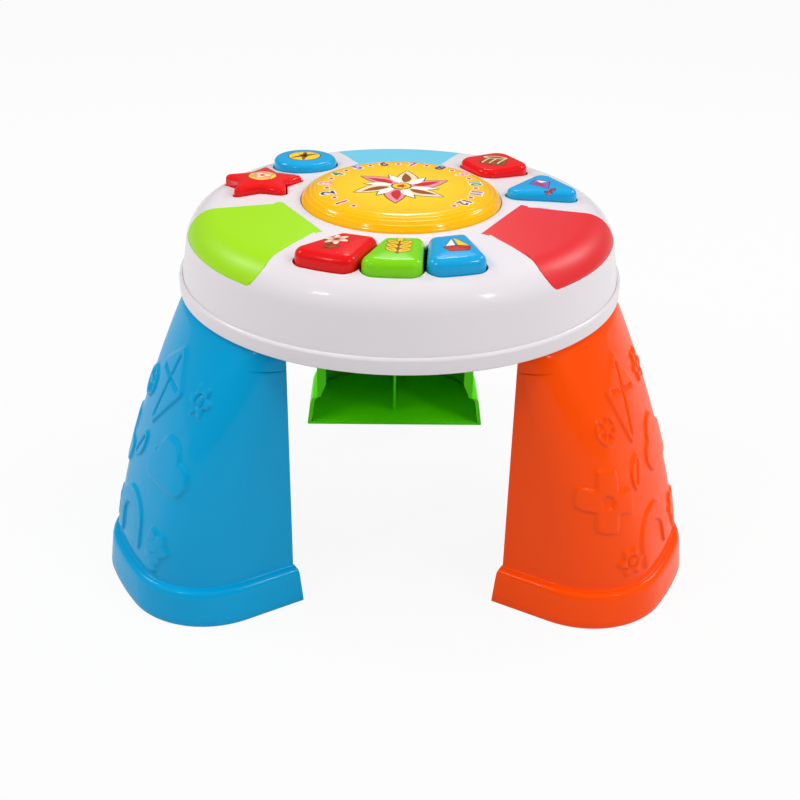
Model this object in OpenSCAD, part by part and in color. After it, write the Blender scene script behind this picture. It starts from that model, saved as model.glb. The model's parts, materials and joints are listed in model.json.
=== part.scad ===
// Musical activity table: a round electronic play top on three moulded legs.
// The play top's own axis is vertical; the three legs stand at 120 degrees round it.
// Front is towards -Y. The floor is Z = 0.

/* [Table top] */
// Radius of the play top at its lip
table_r = 180; // [174:1:188]
// Height of the lip's underside above the floor
lip_z = 223; // [200:1:250]
// Height of the lip band round the play top
lip_h = 13.5; // [12:0.5:16]
// Height of the crown's peak above the lip's underside
dome_h = 69; // [66:1:76]
// Radius of curvature of the gently crowned top
crown_rad = 1460; // [1200:10:2500]
// Radius of the rounded shoulder between crown and wall
shoulder_r = 30; // [26:1:32]
// How far the wall leans inwards from the lip to the shoulder
wall_lean = 6.7; // [6:0.1:8]
// Wall thickness of the top shell
shell_t = 2.6; // [2.2:0.1:3]
// Floor thickness of the base pan
pan_t = 2.6; // [2.2:0.1:3.2]

/* [Colour panels] */
// Thickness of a colour panel
panel_t = 2; // [1.6:0.1:2.4]
// Distance from the dome to a panel's inner edge
panel_off = 10.8; // [10:0.1:13]
// Distance from a panel's outer edge to the lip
panel_rim = 11.5; // [10:0.5:14]
// Half width of a panel at its inner edge
panel_half = 38; // [36:0.5:39]
// How much a panel's side flares outwards
panel_flare = 23; // [20:0.5:24]
// Distance over which a panel's side flares
panel_flare_len = 55; // [52:1:58]

/* [Sun dome] */
// Radius of the light-up dome at its base
sun_r = 80.2; // [78:0.1:81]
// Rise of the dome above its rim
sun_rise = 6.5; // [5:0.5:9]
// Height of the dome's stepped rim above the crown
sun_rim = 4.6; // [4:0.1:6]
// Wall thickness of the dome
sun_t = 2.2; // [1.8:0.1:2.6]
// Travel of the dome when it is pressed
sun_travel = 2.5; // [2:0.5:3]

/* [Piano keys] */
// Direction of the middle key, seen from the axis
key_dir = -93.6; // [-95:0.2:-92]
// Angle between neighbouring keys
key_pitch = 19; // [18.6:0.1:19.4]
// Distance from the dome to the keys
key_off = 19.8; // [19.3:0.1:21.8]
// Distance from the keys' outer edge to the lip
key_rim = 28.5; // [27.5:0.5:32]
// Height of a key's top above the lip's underside
key_top = 75; // [73:0.5:78]
// Gap between neighbouring keys
key_gap = 1.4; // [1.2:0.1:2]
// Angle through which a key tips when it is pressed
key_angle = 3.5; // [2.5:0.5:3.5]

/* [Buttons] */
// Height of a button's top above the crown round it
button_proud = 9; // [8:0.5:11]
// Travel of a button when it is pressed
button_travel = 3; // [2:0.5:3]
// Clearance between a button and its opening
button_gap = 0.7; // [0.5:0.1:1]
// Wall thickness of keys and buttons
cap_t = 2; // [1.6:0.1:2.4]
// Width of the flange that keeps a button in its opening
flange_w = 2.5; // [2:0.1:3]
// Radius that rounds the upper edge of keys and buttons
cap_round = 4.5; // [3.5:0.5:5]

/* [Legs] */
// Distance of a leg's open inner edge from the table's axis
leg_in = 143; // [140:1:146]
// Radius of a leg's outer face where it meets the foot skirt
leg_foot_r = 250; // [242:1:258]
// Radius of a leg's outer face under the lip
leg_top_r = 177; // [175:0.5:178]
// Half width of a leg
leg_half = 79; // [74:1:80]
// How the outer face sweeps out from top to foot
leg_curve = 1.35; // [1.2:0.05:1.7]
// Radius of a leg's outer corners at the foot
leg_corner_foot = 60; // [50:1:64]
// Radius of a leg's outer corners at the top
leg_corner_top = 34; // [26:1:40]
// Wall thickness of a leg
leg_t = 3; // [2.6:0.1:3.4]
// Height of the foot skirt
skirt_h = 30; // [26:1:34]
// How far the foot skirt stands out from the leg at the floor
skirt_out = 11; // [9:0.5:12]
// Width of the in-turned flange along a leg's open edges
leg_flange = 9; // [7:0.5:10]

/* [Electronics] */
// Height of the circuit boards above the lip's underside
board_z = 39; // [37:1:40]
// Thickness of the circuit boards
board_t = 1.6; // [1.2:0.1:1.8]
// Height of a rubber contact dome
contact_h = 6; // [5:0.5:7]
// Radius of the loudspeaker
speaker_r = 28.5; // [26:0.5:30]
// Length of a battery cell
cell_len = 50.5; // [50:0.1:51]
// Radius of a battery cell
cell_r = 7.2; // [7:0.1:7.2]

/* [Hidden] */
$fn = 72;

// Clearances
seat = 0.3;        // between pieces that rest on each other
slide = 0.35;      // between pieces that slide past each other
pin_play = 0.06;   // radial play of a key on its pin

// Panels, keys and buttons stand in the ring between dome and lip, and grow or shrink with it
fit = (table_r - sun_r) / 99.8;
panel_in = sun_r + panel_off * fit;
panel_out = table_r - panel_rim * fit;
key_in = sun_r + key_off * fit;
key_out = table_r - key_rim * fit;
// Place in that ring: a point drawn for a ring from 80.2 to 180, and a turn
function ringed(x, y, turn) =
    let (r = norm([x, y]), k = (sun_r + (r - 80.2) * fit) / r) [x * k, y * k, turn];

// ---- Play top profile -------------------------------------------------
function crown(r) = lip_z + dome_h - r * r / (2 * crown_rad);
shoulder_x = table_r - wall_lean - shoulder_r;
crown_end = asin(shoulder_x / crown_rad);
shoulder_z = crown(shoulder_x + shoulder_r * sin(crown_end)) - shoulder_r * cos(crown_end);
wall_tilt = 80;
lip_top = lip_z + lip_h;
wall_r = shoulder_x + shoulder_r * sin(wall_tilt)
    + (shoulder_z + shoulder_r * cos(wall_tilt) - lip_top) / tan(wall_tilt);
tongue_z = lip_z + 9;
pan_top = lip_z + pan_t;

function arc(cx, cy, r, a0, a1, n) =
    [for (i = [0:n]) [cx + r * cos(a0 + (a1 - a0) * i / n), cy + r * sin(a0 + (a1 - a0) * i / n)]];

// Solid of the play top, shrunk inwards by "deep"
module dome(deep) {
    rotate_extrude()
        polygon(concat(
            [[0, tongue_z], [wall_r - deep, tongue_z], [wall_r - deep, lip_top]],
            arc(shoulder_x, shoulder_z, shoulder_r - deep, 90 - wall_tilt, 90 - crown_end, 9),
            [for (r = [130, 105, 80, 55, 30]) [r, crown(r) - deep]],
            [[0, crown(0) - deep]]));
}
// Copies of a piece round the axis
module around(dirs, r, z) {
    for (a = dirs) rotate([0, 0, a]) translate([r, 0, z]) children();
}
module skin(deep, thick) {
    difference() {
        dome(deep);
        dome(deep + thick);
    }
}
module inside_shell() {
    intersection() {
        dome(shell_t / 2);
        children();
    }
}
module column(shape_top = dome_h + 20, shape_low = 12) {
    translate([0, 0, lip_z + shape_low]) linear_extrude(shape_top - shape_low) children();
}

// ---- Legs ---------------------------------------------------------------
leg_dirs = [210, 330, 90];
leg_z1 = lip_z;
body_z0 = skirt_h + 2;
floor_t = 3;
function rise(z) = max(0, (z - body_z0) / (leg_z1 - body_z0));
function leg_r(z) = leg_top_r + (leg_foot_r - leg_top_r) * (1 - pow(rise(z), leg_curve));
function leg_q(z) = leg_corner_foot + (leg_corner_top - leg_corner_foot) * rise(z);
// Plan of a leg's outer face: [radius, half width, corner radius] give the curve from side to side
// x0 is where the curve may start
function corner_x0(r, w, q) = sqrt((r - q) * (r - q) - (w - q) * (w - q));
function plan(r, w, q, x0) =
    let (c = w - q, dc = corner_x0(r, w, q), al = atan2(c, dc), a0 = dc < x0 ? acos((x0 - dc) / q) : 90)
    concat(arc(dc, c, q, a0, al, 5), [for (i = [1:5]) let (a = al - al * i / 3) [r * cos(a), r * sin(a)]],
        arc(dc, -c, q, -al, -a0, 5));
// Half width at distance x, in front of or within the rounded corner
function side_y(x, r, w, q) =
    let (dx = x - corner_x0(r, w, q)) dx <= 0 ? w : w - q + sqrt(q * q - dx * dx);
// Both lines have the same number of points, so that the leg's section is a strip between them
function leg_outline(x, r, w, q) =
    let (start = [for (d = [0, leg_t / 2, leg_t + 1]) [x + d, side_y(x + d, r, w, q)]])
    concat(start, plan(r, w, q, x + leg_t + 2), [for (p = reverse(start)) [p[0], -p[1]]]);
function leg_inline(x, r, w, q, f) =
    let (t = leg_t, y = side_y(x + t, r - t, w - t, q - t), start = [[x, w - f], [x + t, w - f], [x + t, y]])
    concat(start, plan(r - t, w - t, q - t, x + t + 2), [for (p = reverse(start)) [p[0], -p[1]]]);
// One level of a leg: height, growth outwards over the body's plan, flange width
skirt_levels = [
    [floor_t / 2, skirt_out - 0.4, leg_t + 1], [skirt_h - 6, skirt_out - 4, leg_t + 1],
    [skirt_h - 2.5, skirt_out - 5.5, leg_t + 1], [skirt_h, skirt_out - 9, leg_t + 1],
    [skirt_h + 1.2, 0.2, leg_flange - 1.5], [skirt_h + 4, 0, leg_flange]
];
mid_levels = [for (i = [1:6]) [body_z0 + (leg_z1 - 12 - body_z0) * i / 6, 0, leg_flange]];
top_levels = [[leg_z1 - 6, -0.4, leg_flange], [leg_z1 - 2.5, -1.4, leg_flange], [leg_z1, -3.4, leg_flange]];
leg_levels = concat(skirt_levels, mid_levels, top_levels);
function leg_ring(lv) =
    let (z = lv[0], g = lv[1], r = leg_r(z) + g, w = leg_half + g, q = leg_q(z) + g,
        x = leg_in - max(0, g) / 3)
    [for (p = concat(leg_outline(x, r, w, q), reverse(leg_inline(x, r, w, q, lv[2])))) [p[0], p[1], z]];
function reverse(v) = [for (i = [len(v) - 1:-1:0]) v[i]];
// Triangles between neighbouring rings of equal length
function loft_sides(n, top) = [for (i = [0:top - 1], j = [0:n - 1], k = [0, 1])
    let (a = i * n + j, b = i * n + (j + 1) % n)
    k == 0 ? [a, b, b + n] : [a, b + n, a + n]];
// Triangles that close a strip-shaped ring: each outer point is paired with the inner point beside it
function strip_cap(n, base, up) = [for (j = [0:n / 2 - 2], k = [0, 1])
    let (a = base + j, b = base + j + 1, c = base + n - 2 - j, d = base + n - 1 - j,
        f = k == 0 ? [a, b, c] : [a, c, d])
    up ? f : reverse(f)];
module strip_loft(rings) {
    n = len(rings[0]);
    top = len(rings) - 1;
    polyhedron([for (ring = rings) each ring],
        concat(strip_cap(n, 0, false), loft_sides(n, top), strip_cap(n, top * n, true)));
}
module loft(rings) {
    n = len(rings[0]);
    top = len(rings) - 1;
    polyhedron([for (ring = rings) each ring],
        concat([[for (j = [n - 1:-1:0]) j]], loft_sides(n, top), [[for (j = [0:n - 1]) top * n + j]]));
}
foot_reach = leg_foot_r + skirt_out;
foot_plan = leg_outline(leg_in - skirt_out / 3, foot_reach, leg_half + skirt_out,
    leg_corner_foot + skirt_out);
front_reach = max([for (p = foot_plan) -(p[0] * sin(leg_dirs[0]) + p[1] * cos(leg_dirs[0]))]);
// The table's axis in the frame: the middle of the footprint is the frame's origin
axis_y = (front_reach - foot_reach) / 2;
module at_axis() {
    translate([0, axis_y, 0]) children();
}

tongue_at = (leg_in + leg_top_r) / 2 - 2;   // distance of a leg's plug tongues from the axis
tongue_side = 42;  // how far the tongues stand to each side
tongue_w = 18;
tongue_t = 4;
tongue_h = 16;
module tongue_places() {
    for (s = [-1, 1]) translate([tongue_at, s * tongue_side, 0]) children();
}
module leg(dir) {
    at_axis() rotate([0, 0, dir]) {
        strip_loft([for (lv = leg_levels) leg_ring(lv)]);
        // floor of the foot
        linear_extrude(floor_t) polygon(foot_plan);
        // cap under the play top
        translate([0, 0, leg_z1 - floor_t]) linear_extrude(floor_t - 0.4)
            polygon(concat([[leg_in + 0.4, leg_half - 4]],
                plan(leg_top_r - 4.2, leg_half - 4, leg_corner_top - 4, leg_in + 2),
                    [[leg_in + 0.4, 4 - leg_half]]));
        // middle web from foot to cap
        web_zs = [for (i = [0:6]) skirt_h + 4 + (leg_z1 - 2 - skirt_h - 4) * i / 6];
        rotate([90, 0, 0]) translate([0, 0, -1.2]) linear_extrude(2.4)
            polygon(concat([[leg_in + 8, leg_z1 - 1.5], [leg_in + 22, 1], [foot_reach - 2, 1],
                [foot_reach - 5.5, skirt_h - 6], [foot_reach - 8, skirt_h - 2]],
                [for (z = web_zs) [leg_r(z) - 1.2 - 3 * rise(z), z]]));
        // plug tongues with a snap nose
        tongue_places() {
            translate([-tongue_t / 2, -tongue_w / 2, leg_z1 - 2]) cube([tongue_t, tongue_w, tongue_h + 2]);
            translate([0, tongue_w / 2 - 2, 0]) rotate([90, 0, 0]) linear_extrude(tongue_w - 4)
                polygon([[-tongue_t / 2 - 1.6, nose_z], [-tongue_t / 2 + 1, nose_z],
                    [-tongue_t / 2 + 1, nose_z + 5],
                    [-tongue_t / 2, nose_z + 5]]);
        }
    }
}
nose_z = pan_top + 4 + seat;
module left_leg() { color("deepskyblue") leg(leg_dirs[0]); }
module right_leg() { color("orangered") leg(leg_dirs[1]); }
module rear_leg() { color("limegreen") leg(leg_dirs[2]); }

// ---- Colour panels --------------------------------------------------------
// Panel plan, along +X: hooks at the inner corners, flared sides, round outer edge
function flare(d) = panel_half - 0.5 + panel_flare * pow(max(0, (d - panel_in - 6) / panel_flare_len), 1.25);
corner_y = panel_half + 20;
corner_x = sqrt(panel_out * panel_out - corner_y * corner_y);
function panel_side(g) = concat(
    [[panel_in - g, panel_half + g], [panel_in + 6 + g, panel_half + g],
        [panel_in + 6.6 + g, panel_half - 2.2 + g]],
    [for (i = [0:4]) let (d = panel_in + 16 + (corner_x - 25.2 - panel_in) * i / 4) [d, flare(d) + g]],
    [[corner_x - 4.6 + g / 2, corner_y + 2.9 + g], [corner_x - 1.8 + g / 2, corner_y + 1.9 + g],
     [corner_x + 1 + g, corner_y - 0.9 + g / 2], [panel_out + 9 + g, corner_y - 15]]);
module panel_plan(grow) {
    side = panel_side(grow);
    intersection() {
        polygon(concat(side, [for (p = reverse(side)) [p[0], -p[1]]]));
        circle(r = panel_out + grow, $fn = 90);
    }
}
panel_play = 0.15;
module panel_pegs(r, low) {
    for (p = [[panel_in + 12, 26], [panel_in + 12, -26], [panel_out - 27.5, 40], [panel_out - 27.5, -40]])
        translate([p[0], p[1], crown(panel_in) - low]) cylinder(r = r, h = low, $fn = 24);
}
module panel(dir) {
    at_axis() rotate([0, 0, dir]) {
        intersection() {
            column() panel_plan(-panel_play);
            skin(0, panel_t);
        }
        intersection() {
            dome(panel_t / 2);
            panel_pegs(2, 16);
        }
    }
}
module left_panel() { color("greenyellow") panel(leg_dirs[0]); }
module right_panel() { color("crimson") panel(leg_dirs[1]); }
module rear_panel() { color("skyblue") panel(leg_dirs[2]); }

// ---- Sun dome -------------------------------------------------------------
sun_base = crown(sun_r);
sun_top = sun_base + sun_rim;
sun_gap = 0.6;
sun_flange_r = sun_r + 3.4;
sun_flange_z = crown(sun_flange_r) - shell_t - seat;
steps = 3;
step_w = 1.7;
cage_floor = sun_flange_z - 16;
cage_r = sun_flange_r + slide;
cage_wall = 1.6;
ear_r = cage_r + 7;
ear_dirs = [for (d = leg_dirs, s = [-15, 15]) d + s];
cage_dirs = [for (i = [0:2]) 30 + 120 * i];
function sun_crown(r, z0, rr) = z0 + sun_rise * (1 - r * r / (rr * rr));
module sun_profile(deep) {
    rr = sun_r - steps * step_w;
    polygon(concat(
        [[0, sun_flange_z - 4], [sun_r - deep, sun_flange_z - 4], [sun_r - deep, sun_base + 0.8 - deep / 2]],
        [for (i = [1:steps], k = [0, 1])
            [sun_r - deep - (i - 1 + 0.45 + 0.55 * k) * step_w,
             sun_base + 0.8 - deep / 2 + (sun_rim - 0.8) * (i - 0.25 + 0.25 * k) / steps]],
        [for (i = [1:7]) let (r = (rr - deep) * (1 - i / 7)) [r, sun_crown(r, sun_top, rr) - deep]]));
}
module sun_dome() {
    color("gold") at_axis() difference() {
        union() {
            rotate_extrude() sun_profile(0);
            translate([0, 0, sun_flange_z - 2]) cylinder(r = sun_flange_r, h = 2);
        }
        difference() {
            rotate_extrude() sun_profile(sun_t);
            // posts that carry the printed disc
            for (a = [0:60:300]) rotate([0, 0, a + 30]) translate([sun_disc_r - 6, 0, 0])
                cylinder(r = 2.5, h = crown(0) + 20);
        }
        translate([0, 0, sun_flange_z - 5]) cylinder(r = sun_r - sun_t, h = 2.5);
    }
}
sun_disc_r = sun_r - sun_t - 1;
module sun_disc() {
    color("orange") at_axis() translate([0, 0, sun_flange_z - 3.5]) difference() {
        cylinder(r = sun_disc_r, h = 1);
        around([0:60:300], led_at, -1) cylinder(r = 3.2, h = 3, $fn = 32);
    }
}
module sun_cage() {
    color("white") at_axis() difference() {
        union() {
            translate([0, 0, cage_floor])
                cylinder(r = cage_r + cage_wall, h = crown(cage_r + 2) - shell_t - seat - cage_floor);
            for (a = ear_dirs) rotate([0, 0, a]) translate([0, -5, cage_floor])
                cube([ear_r - 1, 10, 3]);
            around(ear_dirs, ear_r - 1, cage_floor) cylinder(r = 5, h = 3, $fn = 32);
        }
        translate([0, 0, cage_floor + 2]) cylinder(r = cage_r, h = 40);
        around(ear_dirs, ear_r - 1, cage_floor - 1) cylinder(r = 1.8, h = 8, $fn = 32);
        // vents and lead holes in the floor
        around([0:45:315], 66, cage_floor - 1) cylinder(r = 4, h = 5, $fn = 32);
    }
}
spring_at = sun_r - sun_t / 2;
spring_low = cage_floor + 2;
spring_high = sun_flange_z - 4;
led_at = 30;
module coil(r, wire, low, high, turns) {
    n = 8;
    m = 5;
    span = high - low - 2 * wire;
    rings = [for (i = [0:n * turns]) [for (j = [0:m - 1]) let (a = 360 * i / n, b = 360 * j / m)
        [(r + wire * cos(b)) * cos(a), (r + wire * cos(b)) * sin(a),
            low + wire + span * i / (n * turns) + wire * sin(b)]]];
    loft(rings);
}
module sun_springs() {
    color("silver") at_axis() around(cage_dirs, spring_at, 0)
        coil(2.6, 0.45, spring_low, spring_high, 4);
}
light_r = 58;
module light_board() {
    color("darkgreen") at_axis() translate([0, 0, cage_floor + 2]) difference() {
        cylinder(r = light_r, h = board_t);
        around([0:120:240], light_r - 6, -1) cylinder(r = 1.6, h = 4, $fn = 24);
    }
}
module light_leds() {
    color("red") at_axis() around([0:60:300], led_at, cage_floor + 2 + board_t)
        rotate_extrude($fn = 32)
            polygon(concat([[0, 0], [3, 0], [3, 1], [2.5, 1], [2.5, 3.5]], arc(0, 3.5, 2.5, 15, 90, 5)));
}

// ---- Keys -----------------------------------------------------------------
key_half = key_pitch / 2;
key_z = lip_z + key_top;
key_low = crown(key_out) - shell_t - 4.5;
pin_x = key_in - 6.5;
pin_z = crown(pin_x) - shell_t - 6;
pin_r = 1.5;
key_mid = key_out - 13.5;
contact_top = lip_z + board_z + board_t + contact_h;
// Plan of one key, along +X
key_q = 6.5;
// Centres of a wedge's corner arcs, for arcs of radius q set g inside the wedge
function wedge(r0, r1, half, q) =
    let (in = r0 + q, out = r1 - q)
    [side_point(in, half, q, -1), side_point(out, half, q, -1), [out, 0], side_point(out, half, q, 1),
     side_point(in, half, q, 1)];
function side_point(r, half, q, s) =
    let (a = half - asin(q / r)) [r * cos(a), s * r * sin(a)];
module key_plan(grow) {
    polygon(rounded(wedge(key_in, key_out, key_half, key_q + key_gap / 2), key_q + grow, 4));
}
// A crowned cap over a convex plan: the slices shrink over the rounded edge
module pillow(low, high, deep) {
    hull() {
        translate([0, 0, low]) linear_extrude(0.1) children();
        for (a = [0:30:90])
            translate([0, 0, high - (cap_round - deep) * (1 - sin(a)) - 0.1]) linear_extrude(0.1)
                offset(delta = -(cap_round - deep) * (1 - cos(a)) - 0.6) children();
    }
}
module key(dir) {
    at_axis() rotate([0, 0, dir]) {
        difference() {
            union() {
                pillow(key_low, key_z, 0) key_plan(0);
                // lip under the shell's front edge
                translate([0, 0, key_low + 1.5]) linear_extrude(1.6) intersection() {
                    translate([flange_w + 0.4, 0]) key_plan(-1);
                    translate([key_out - 8, -20]) square([20, 40]);
                }
            }
            translate([0, 0, -1]) pillow(key_low, key_z - cap_t + 1, cap_t)
                offset(delta = -cap_t) key_plan(0);
        }
        // plunger over the rubber contact, braced to the cap's roof
        translate([key_mid, 0, contact_top + seat])
            cylinder(r = 4, h = key_z - cap_t - contact_top, $fn = 32);
        translate([key_in + 1, -1, key_low]) cube([key_mid - key_in, 2, key_z - cap_t - key_low]);
        // hinge lug
        difference() {
            union() {
                translate([pin_x, 9, pin_z]) rotate([90, 0, 0]) cylinder(r = 3.2, h = 18, $fn = 40);
                translate([pin_x, -9, pin_z - 3]) cube([key_in + 1.5 - pin_x, 18, 3.4]);
                translate([key_in + 0.4, -9, pin_z - 3]) cube([1.8, 18, 7]);
            }
            translate([pin_x, 10, pin_z]) rotate([90, 0, 0])
                cylinder(r = pin_r + pin_play, h = 20, $fn = 40);
        }
    }
}
module red_key() { color("red") key(key_dir - key_pitch); }
module green_key() { color("yellowgreen") key(key_dir); }
module blue_key() { color("dodgerblue") key(key_dir + key_pitch); }
pin_len = 26;
module key_pins() {
    color("silver") at_axis() for (i = [-1:1]) rotate([0, 0, key_dir + i * key_pitch])
        translate([pin_x, pin_len / 2, pin_z]) rotate([90, 0, 0]) cylinder(r = pin_r, h = pin_len, $fn = 40);
}
// Opening for all three keys
module key_opening() {
    intersection() {
        difference() {
            circle(r = key_out + 1.2, $fn = 90);
            circle(r = key_in - 0.8, $fn = 90);
        }
        rotate(key_dir) polygon([[0, 0], [200, 200 * tan(3 * key_half)], [200, -200 * tan(3 * key_half)]]);
    }
}

// ---- Buttons --------------------------------------------------------------
// [x, y, turn] of each button's middle, seen from the play top's axis
oval_at = ringed(-83, 96, 41);
star_at = ringed(-115, 39, 93);
square_at = ringed(84, 95, 34);
fan_at = ringed(119, 30, 0);
oval_long = 30 * fit;
oval_short = 26.5 * fit;
star_tip = 34 * fit;
star_notch = 21 * fit;
star_body = 17 * fit;
tip_r = 4.5;
square_side = 47 * fit;
square_corner = 13 * fit;
fan_corners = fit * [[-22, -17.5], [19.5, -7.5], [3, 20]];
fan_corner = 10 * fit;
module oval_plan(grow) {
    polygon([for (a = [0:15:345]) [(oval_long + grow) * cos(a), (oval_short + grow) * sin(a)]]);
}
// A star's outline: each tip an arc, each notch one point
function star_point(i, g) = concat(
    [for (b = [-72:36:72]) let (c = star_tip - tip_r, q = tip_r + g)
        turned([c + q * cos(b), q * sin(b)], 72 * i)],
    [turned([star_notch + g * 1.2, 0], 72 * i + 36)]);
function turned(p, a) = [p[0] * cos(a) - p[1] * sin(a), p[0] * sin(a) + p[1] * cos(a)];
module star_plan(grow) {
    polygon([for (i = [0:4]) each star_point(i, grow)]);
}
// Round-cornered outline round a list of corner centres
function rounded(centres, r, steps) = [for (i = [0:len(centres) - 1])
    let (n = len(centres), c = centres[i], a = centres[(i + n - 1) % n], b = centres[(i + 1) % n],
        a0 = atan2(c[1] - a[1], c[0] - a[0]) - 90, turn = wrap(atan2(b[1] - c[1], b[0] - c[0]) - 90 - a0))
    each [for (k = [0:steps]) c + r * [cos(a0 + turn * k / steps), sin(a0 + turn * k / steps)]]];
function wrap(a) = a < 0 ? a + 360 : a >= 360 ? a - 360 : a;
half_sq = square_side / 2 - square_corner;
module square_plan(grow) {
    polygon(rounded([[-half_sq, -half_sq], [half_sq, -half_sq], [half_sq, half_sq], [-half_sq, half_sq]],
        square_corner + grow, 5));
}
module fan_plan(grow) {
    polygon(rounded(fan_corners, fan_corner + grow, 7));
}
module place(at) {
    translate([at[0], at[1], 0]) rotate([0, 0, at[2]]) children();
}
function at_r(at) = norm([at[0], at[1]]);
function button_z(at) = crown(at_r(at)) + button_proud;
function button_low(at) = crown(at_r(at)) - shell_t - 7;
// Everything under a button's cap: flange that hooks under the shell, plunger on the rubber contact
module button_works(at) {
    intersection() {
        skin(shell_t + seat, 1.8);
        column() difference() {
            place(at) difference() {
                children(0);
                children(1);
            }
            circle(r = cage_r + cage_wall + 0.5);
        }
    }
    place(at) translate([0, 0, contact_top + seat])
        cylinder(r = 4.5, h = button_z(at) - cap_t / 2 - contact_top - seat, $fn = 32);
}
module round_button(at) {
    at_axis() {
        place(at) difference() {
            pillow(button_low(at), button_z(at), 0) children(0);
            translate([0, 0, -1]) pillow(button_low(at), button_z(at) - cap_t + 1, cap_t)
                offset(delta = -cap_t) children(0);
        }
        button_works(at) {
            offset(delta = flange_w) children(0);
            offset(delta = -1) children(0);
        }
    }
}
module oval_button() { color("deepskyblue") round_button(oval_at) oval_plan(0); }
module square_button() { color("red") round_button(square_at) square_plan(0); }
module fan_button() { color("deepskyblue") round_button(fan_at) fan_plan(0); }
// One arm of the star: a rounded ridge from the middle to a tip
module knob(r, low, high, q) {
    rotate_extrude($fn = 24)
        polygon(concat([[0, low], [r, low]], arc(r - q, high - q, q, 0, 90, 3), [[0, high]]));
}
module star_solid(low, high, deep) {
    for (i = [0:4]) rotate([0, 0, 72 * i]) hull() {
        knob(star_body - deep, low, high, cap_round - deep / 2);
        translate([star_tip - 5, 0, 0]) knob(4.5 - deep, low, high, 3 - deep / 2);
    }
}
module star_button() {
    color("red") at_axis() {
        place(star_at) star_solid(button_low(star_at), button_z(star_at), 0);
        button_works(star_at) {
            star_plan(flange_w);
            star_plan(-2.5);
        }
    }
}
module contact(x, y) {
    translate([x, y, lip_z + board_z + board_t]) rotate_extrude($fn = 32)
        polygon([[0, contact_h - 1.6], [2.5, contact_h - 1.6], [5.2, 0.4], [5.2, 0], [7, 0], [7, 1.2],
            [6.2, 1.2],
            [3.6, contact_h], [0, contact_h]]);
}
module key_contact(i) {
    color("gray") at_axis() rotate([0, 0, key_dir + i * key_pitch]) contact(key_mid, 0);
}
module red_key_contact() { key_contact(-1); }
module green_key_contact() { key_contact(0); }
module blue_key_contact() { key_contact(1); }
module oval_contact() { color("gray") at_axis() contact(oval_at[0], oval_at[1]); }
module star_contact() { color("gray") at_axis() contact(star_at[0], star_at[1]); }
module square_contact() { color("gray") at_axis() contact(square_at[0], square_at[1]); }
module fan_contact() { color("gray") at_axis() contact(fan_at[0], fan_at[1]); }

// ---- Circuit boards --------------------------------------------------------
// Board posts under the shell, [direction, distance from the axis]
outer_post = table_r - 24 * fit;
left_posts = [[146, outer_post], [140.4, sun_r + 17.1 * fit]];
right_posts = [[34, outer_post], [26, sun_r + 20.8 * fit]];
key_posts = [for (s = [-1, 1]) [key_dir + s * (1.5 * key_pitch + 5), key_out - 11.5 * fit]];
all_posts = concat(left_posts, right_posts, key_posts);
function polar(p) = [p[1] * cos(p[0]), p[1] * sin(p[0])];
module spot(p, r) { translate(p) circle(r = r); }
module post_holes(posts) {
    for (p = posts) spot(polar(p), 1.6, $fn = 24);
}
module board(posts) {
    color("darkgreen") at_axis() translate([0, 0, lip_z + board_z]) linear_extrude(board_t) difference() {
        children();
        post_holes(posts);
    }
}
module band(p, q, r) {
    // a strip of constant width that passes both points
    d = q - p;
    translate(p) rotate(atan2(d[1], d[0])) translate([-r, -r]) square([norm(d) + 2 * r, 2 * r]);
}
module side_board(posts, a, b) {
    board(posts) {
        band([a[0], a[1]], [b[0], b[1]], 10);
        band(polar(posts[0]), polar(posts[1]), 6);
    }
}
module left_board() { side_board(left_posts, oval_at, star_at); }
module right_board() { side_board(right_posts, square_at, fan_at); }
module key_board() {
    board(key_posts) intersection() {
        difference() {
            circle(r = key_mid + 10, $fn = 90);
            circle(r = key_mid - 16, $fn = 90);
        }
        rotate(key_dir) polygon([[0, 0], [200, 200 * tan(1.5 * key_pitch + 8)],
            [200, -200 * tan(1.5 * key_pitch + 8)]]);
    }
}
module sound_chip() {
    color("dimgray") at_axis() rotate([0, 0, key_dir + key_pitch / 2])
        translate([key_mid - 8, 0, lip_z + board_z])
        mirror([0, 0, 1]) rotate_extrude($fn = 40)
            polygon(concat([[0, 0], [6, 0]], arc(0, -6, 8.5, 48, 90, 4)));
}
module screw(r, len, head_r, head_h) {
    cylinder(r = r, h = len, $fn = 24);
    translate([0, 0, -head_h]) difference() {
        cylinder(r = head_r, h = head_h, $fn = 32);
        translate([-head_r * 0.7, -0.4, -0.1]) cube([head_r * 1.4, 0.8, 0.9]);
        translate([-0.4, -head_r * 0.7, -0.1]) cube([0.8, head_r * 1.4, 0.9]);
    }
}
module board_screws() {
    color("silver") at_axis() {
        for (p = all_posts) translate([polar(p)[0], polar(p)[1], lip_z + board_z]) screw(1.3, 8, 2.8, 1.6);
        around(ear_dirs, ear_r - 1, cage_floor) screw(1.3, 9, 2.8, 1.6);
    }
}

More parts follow.
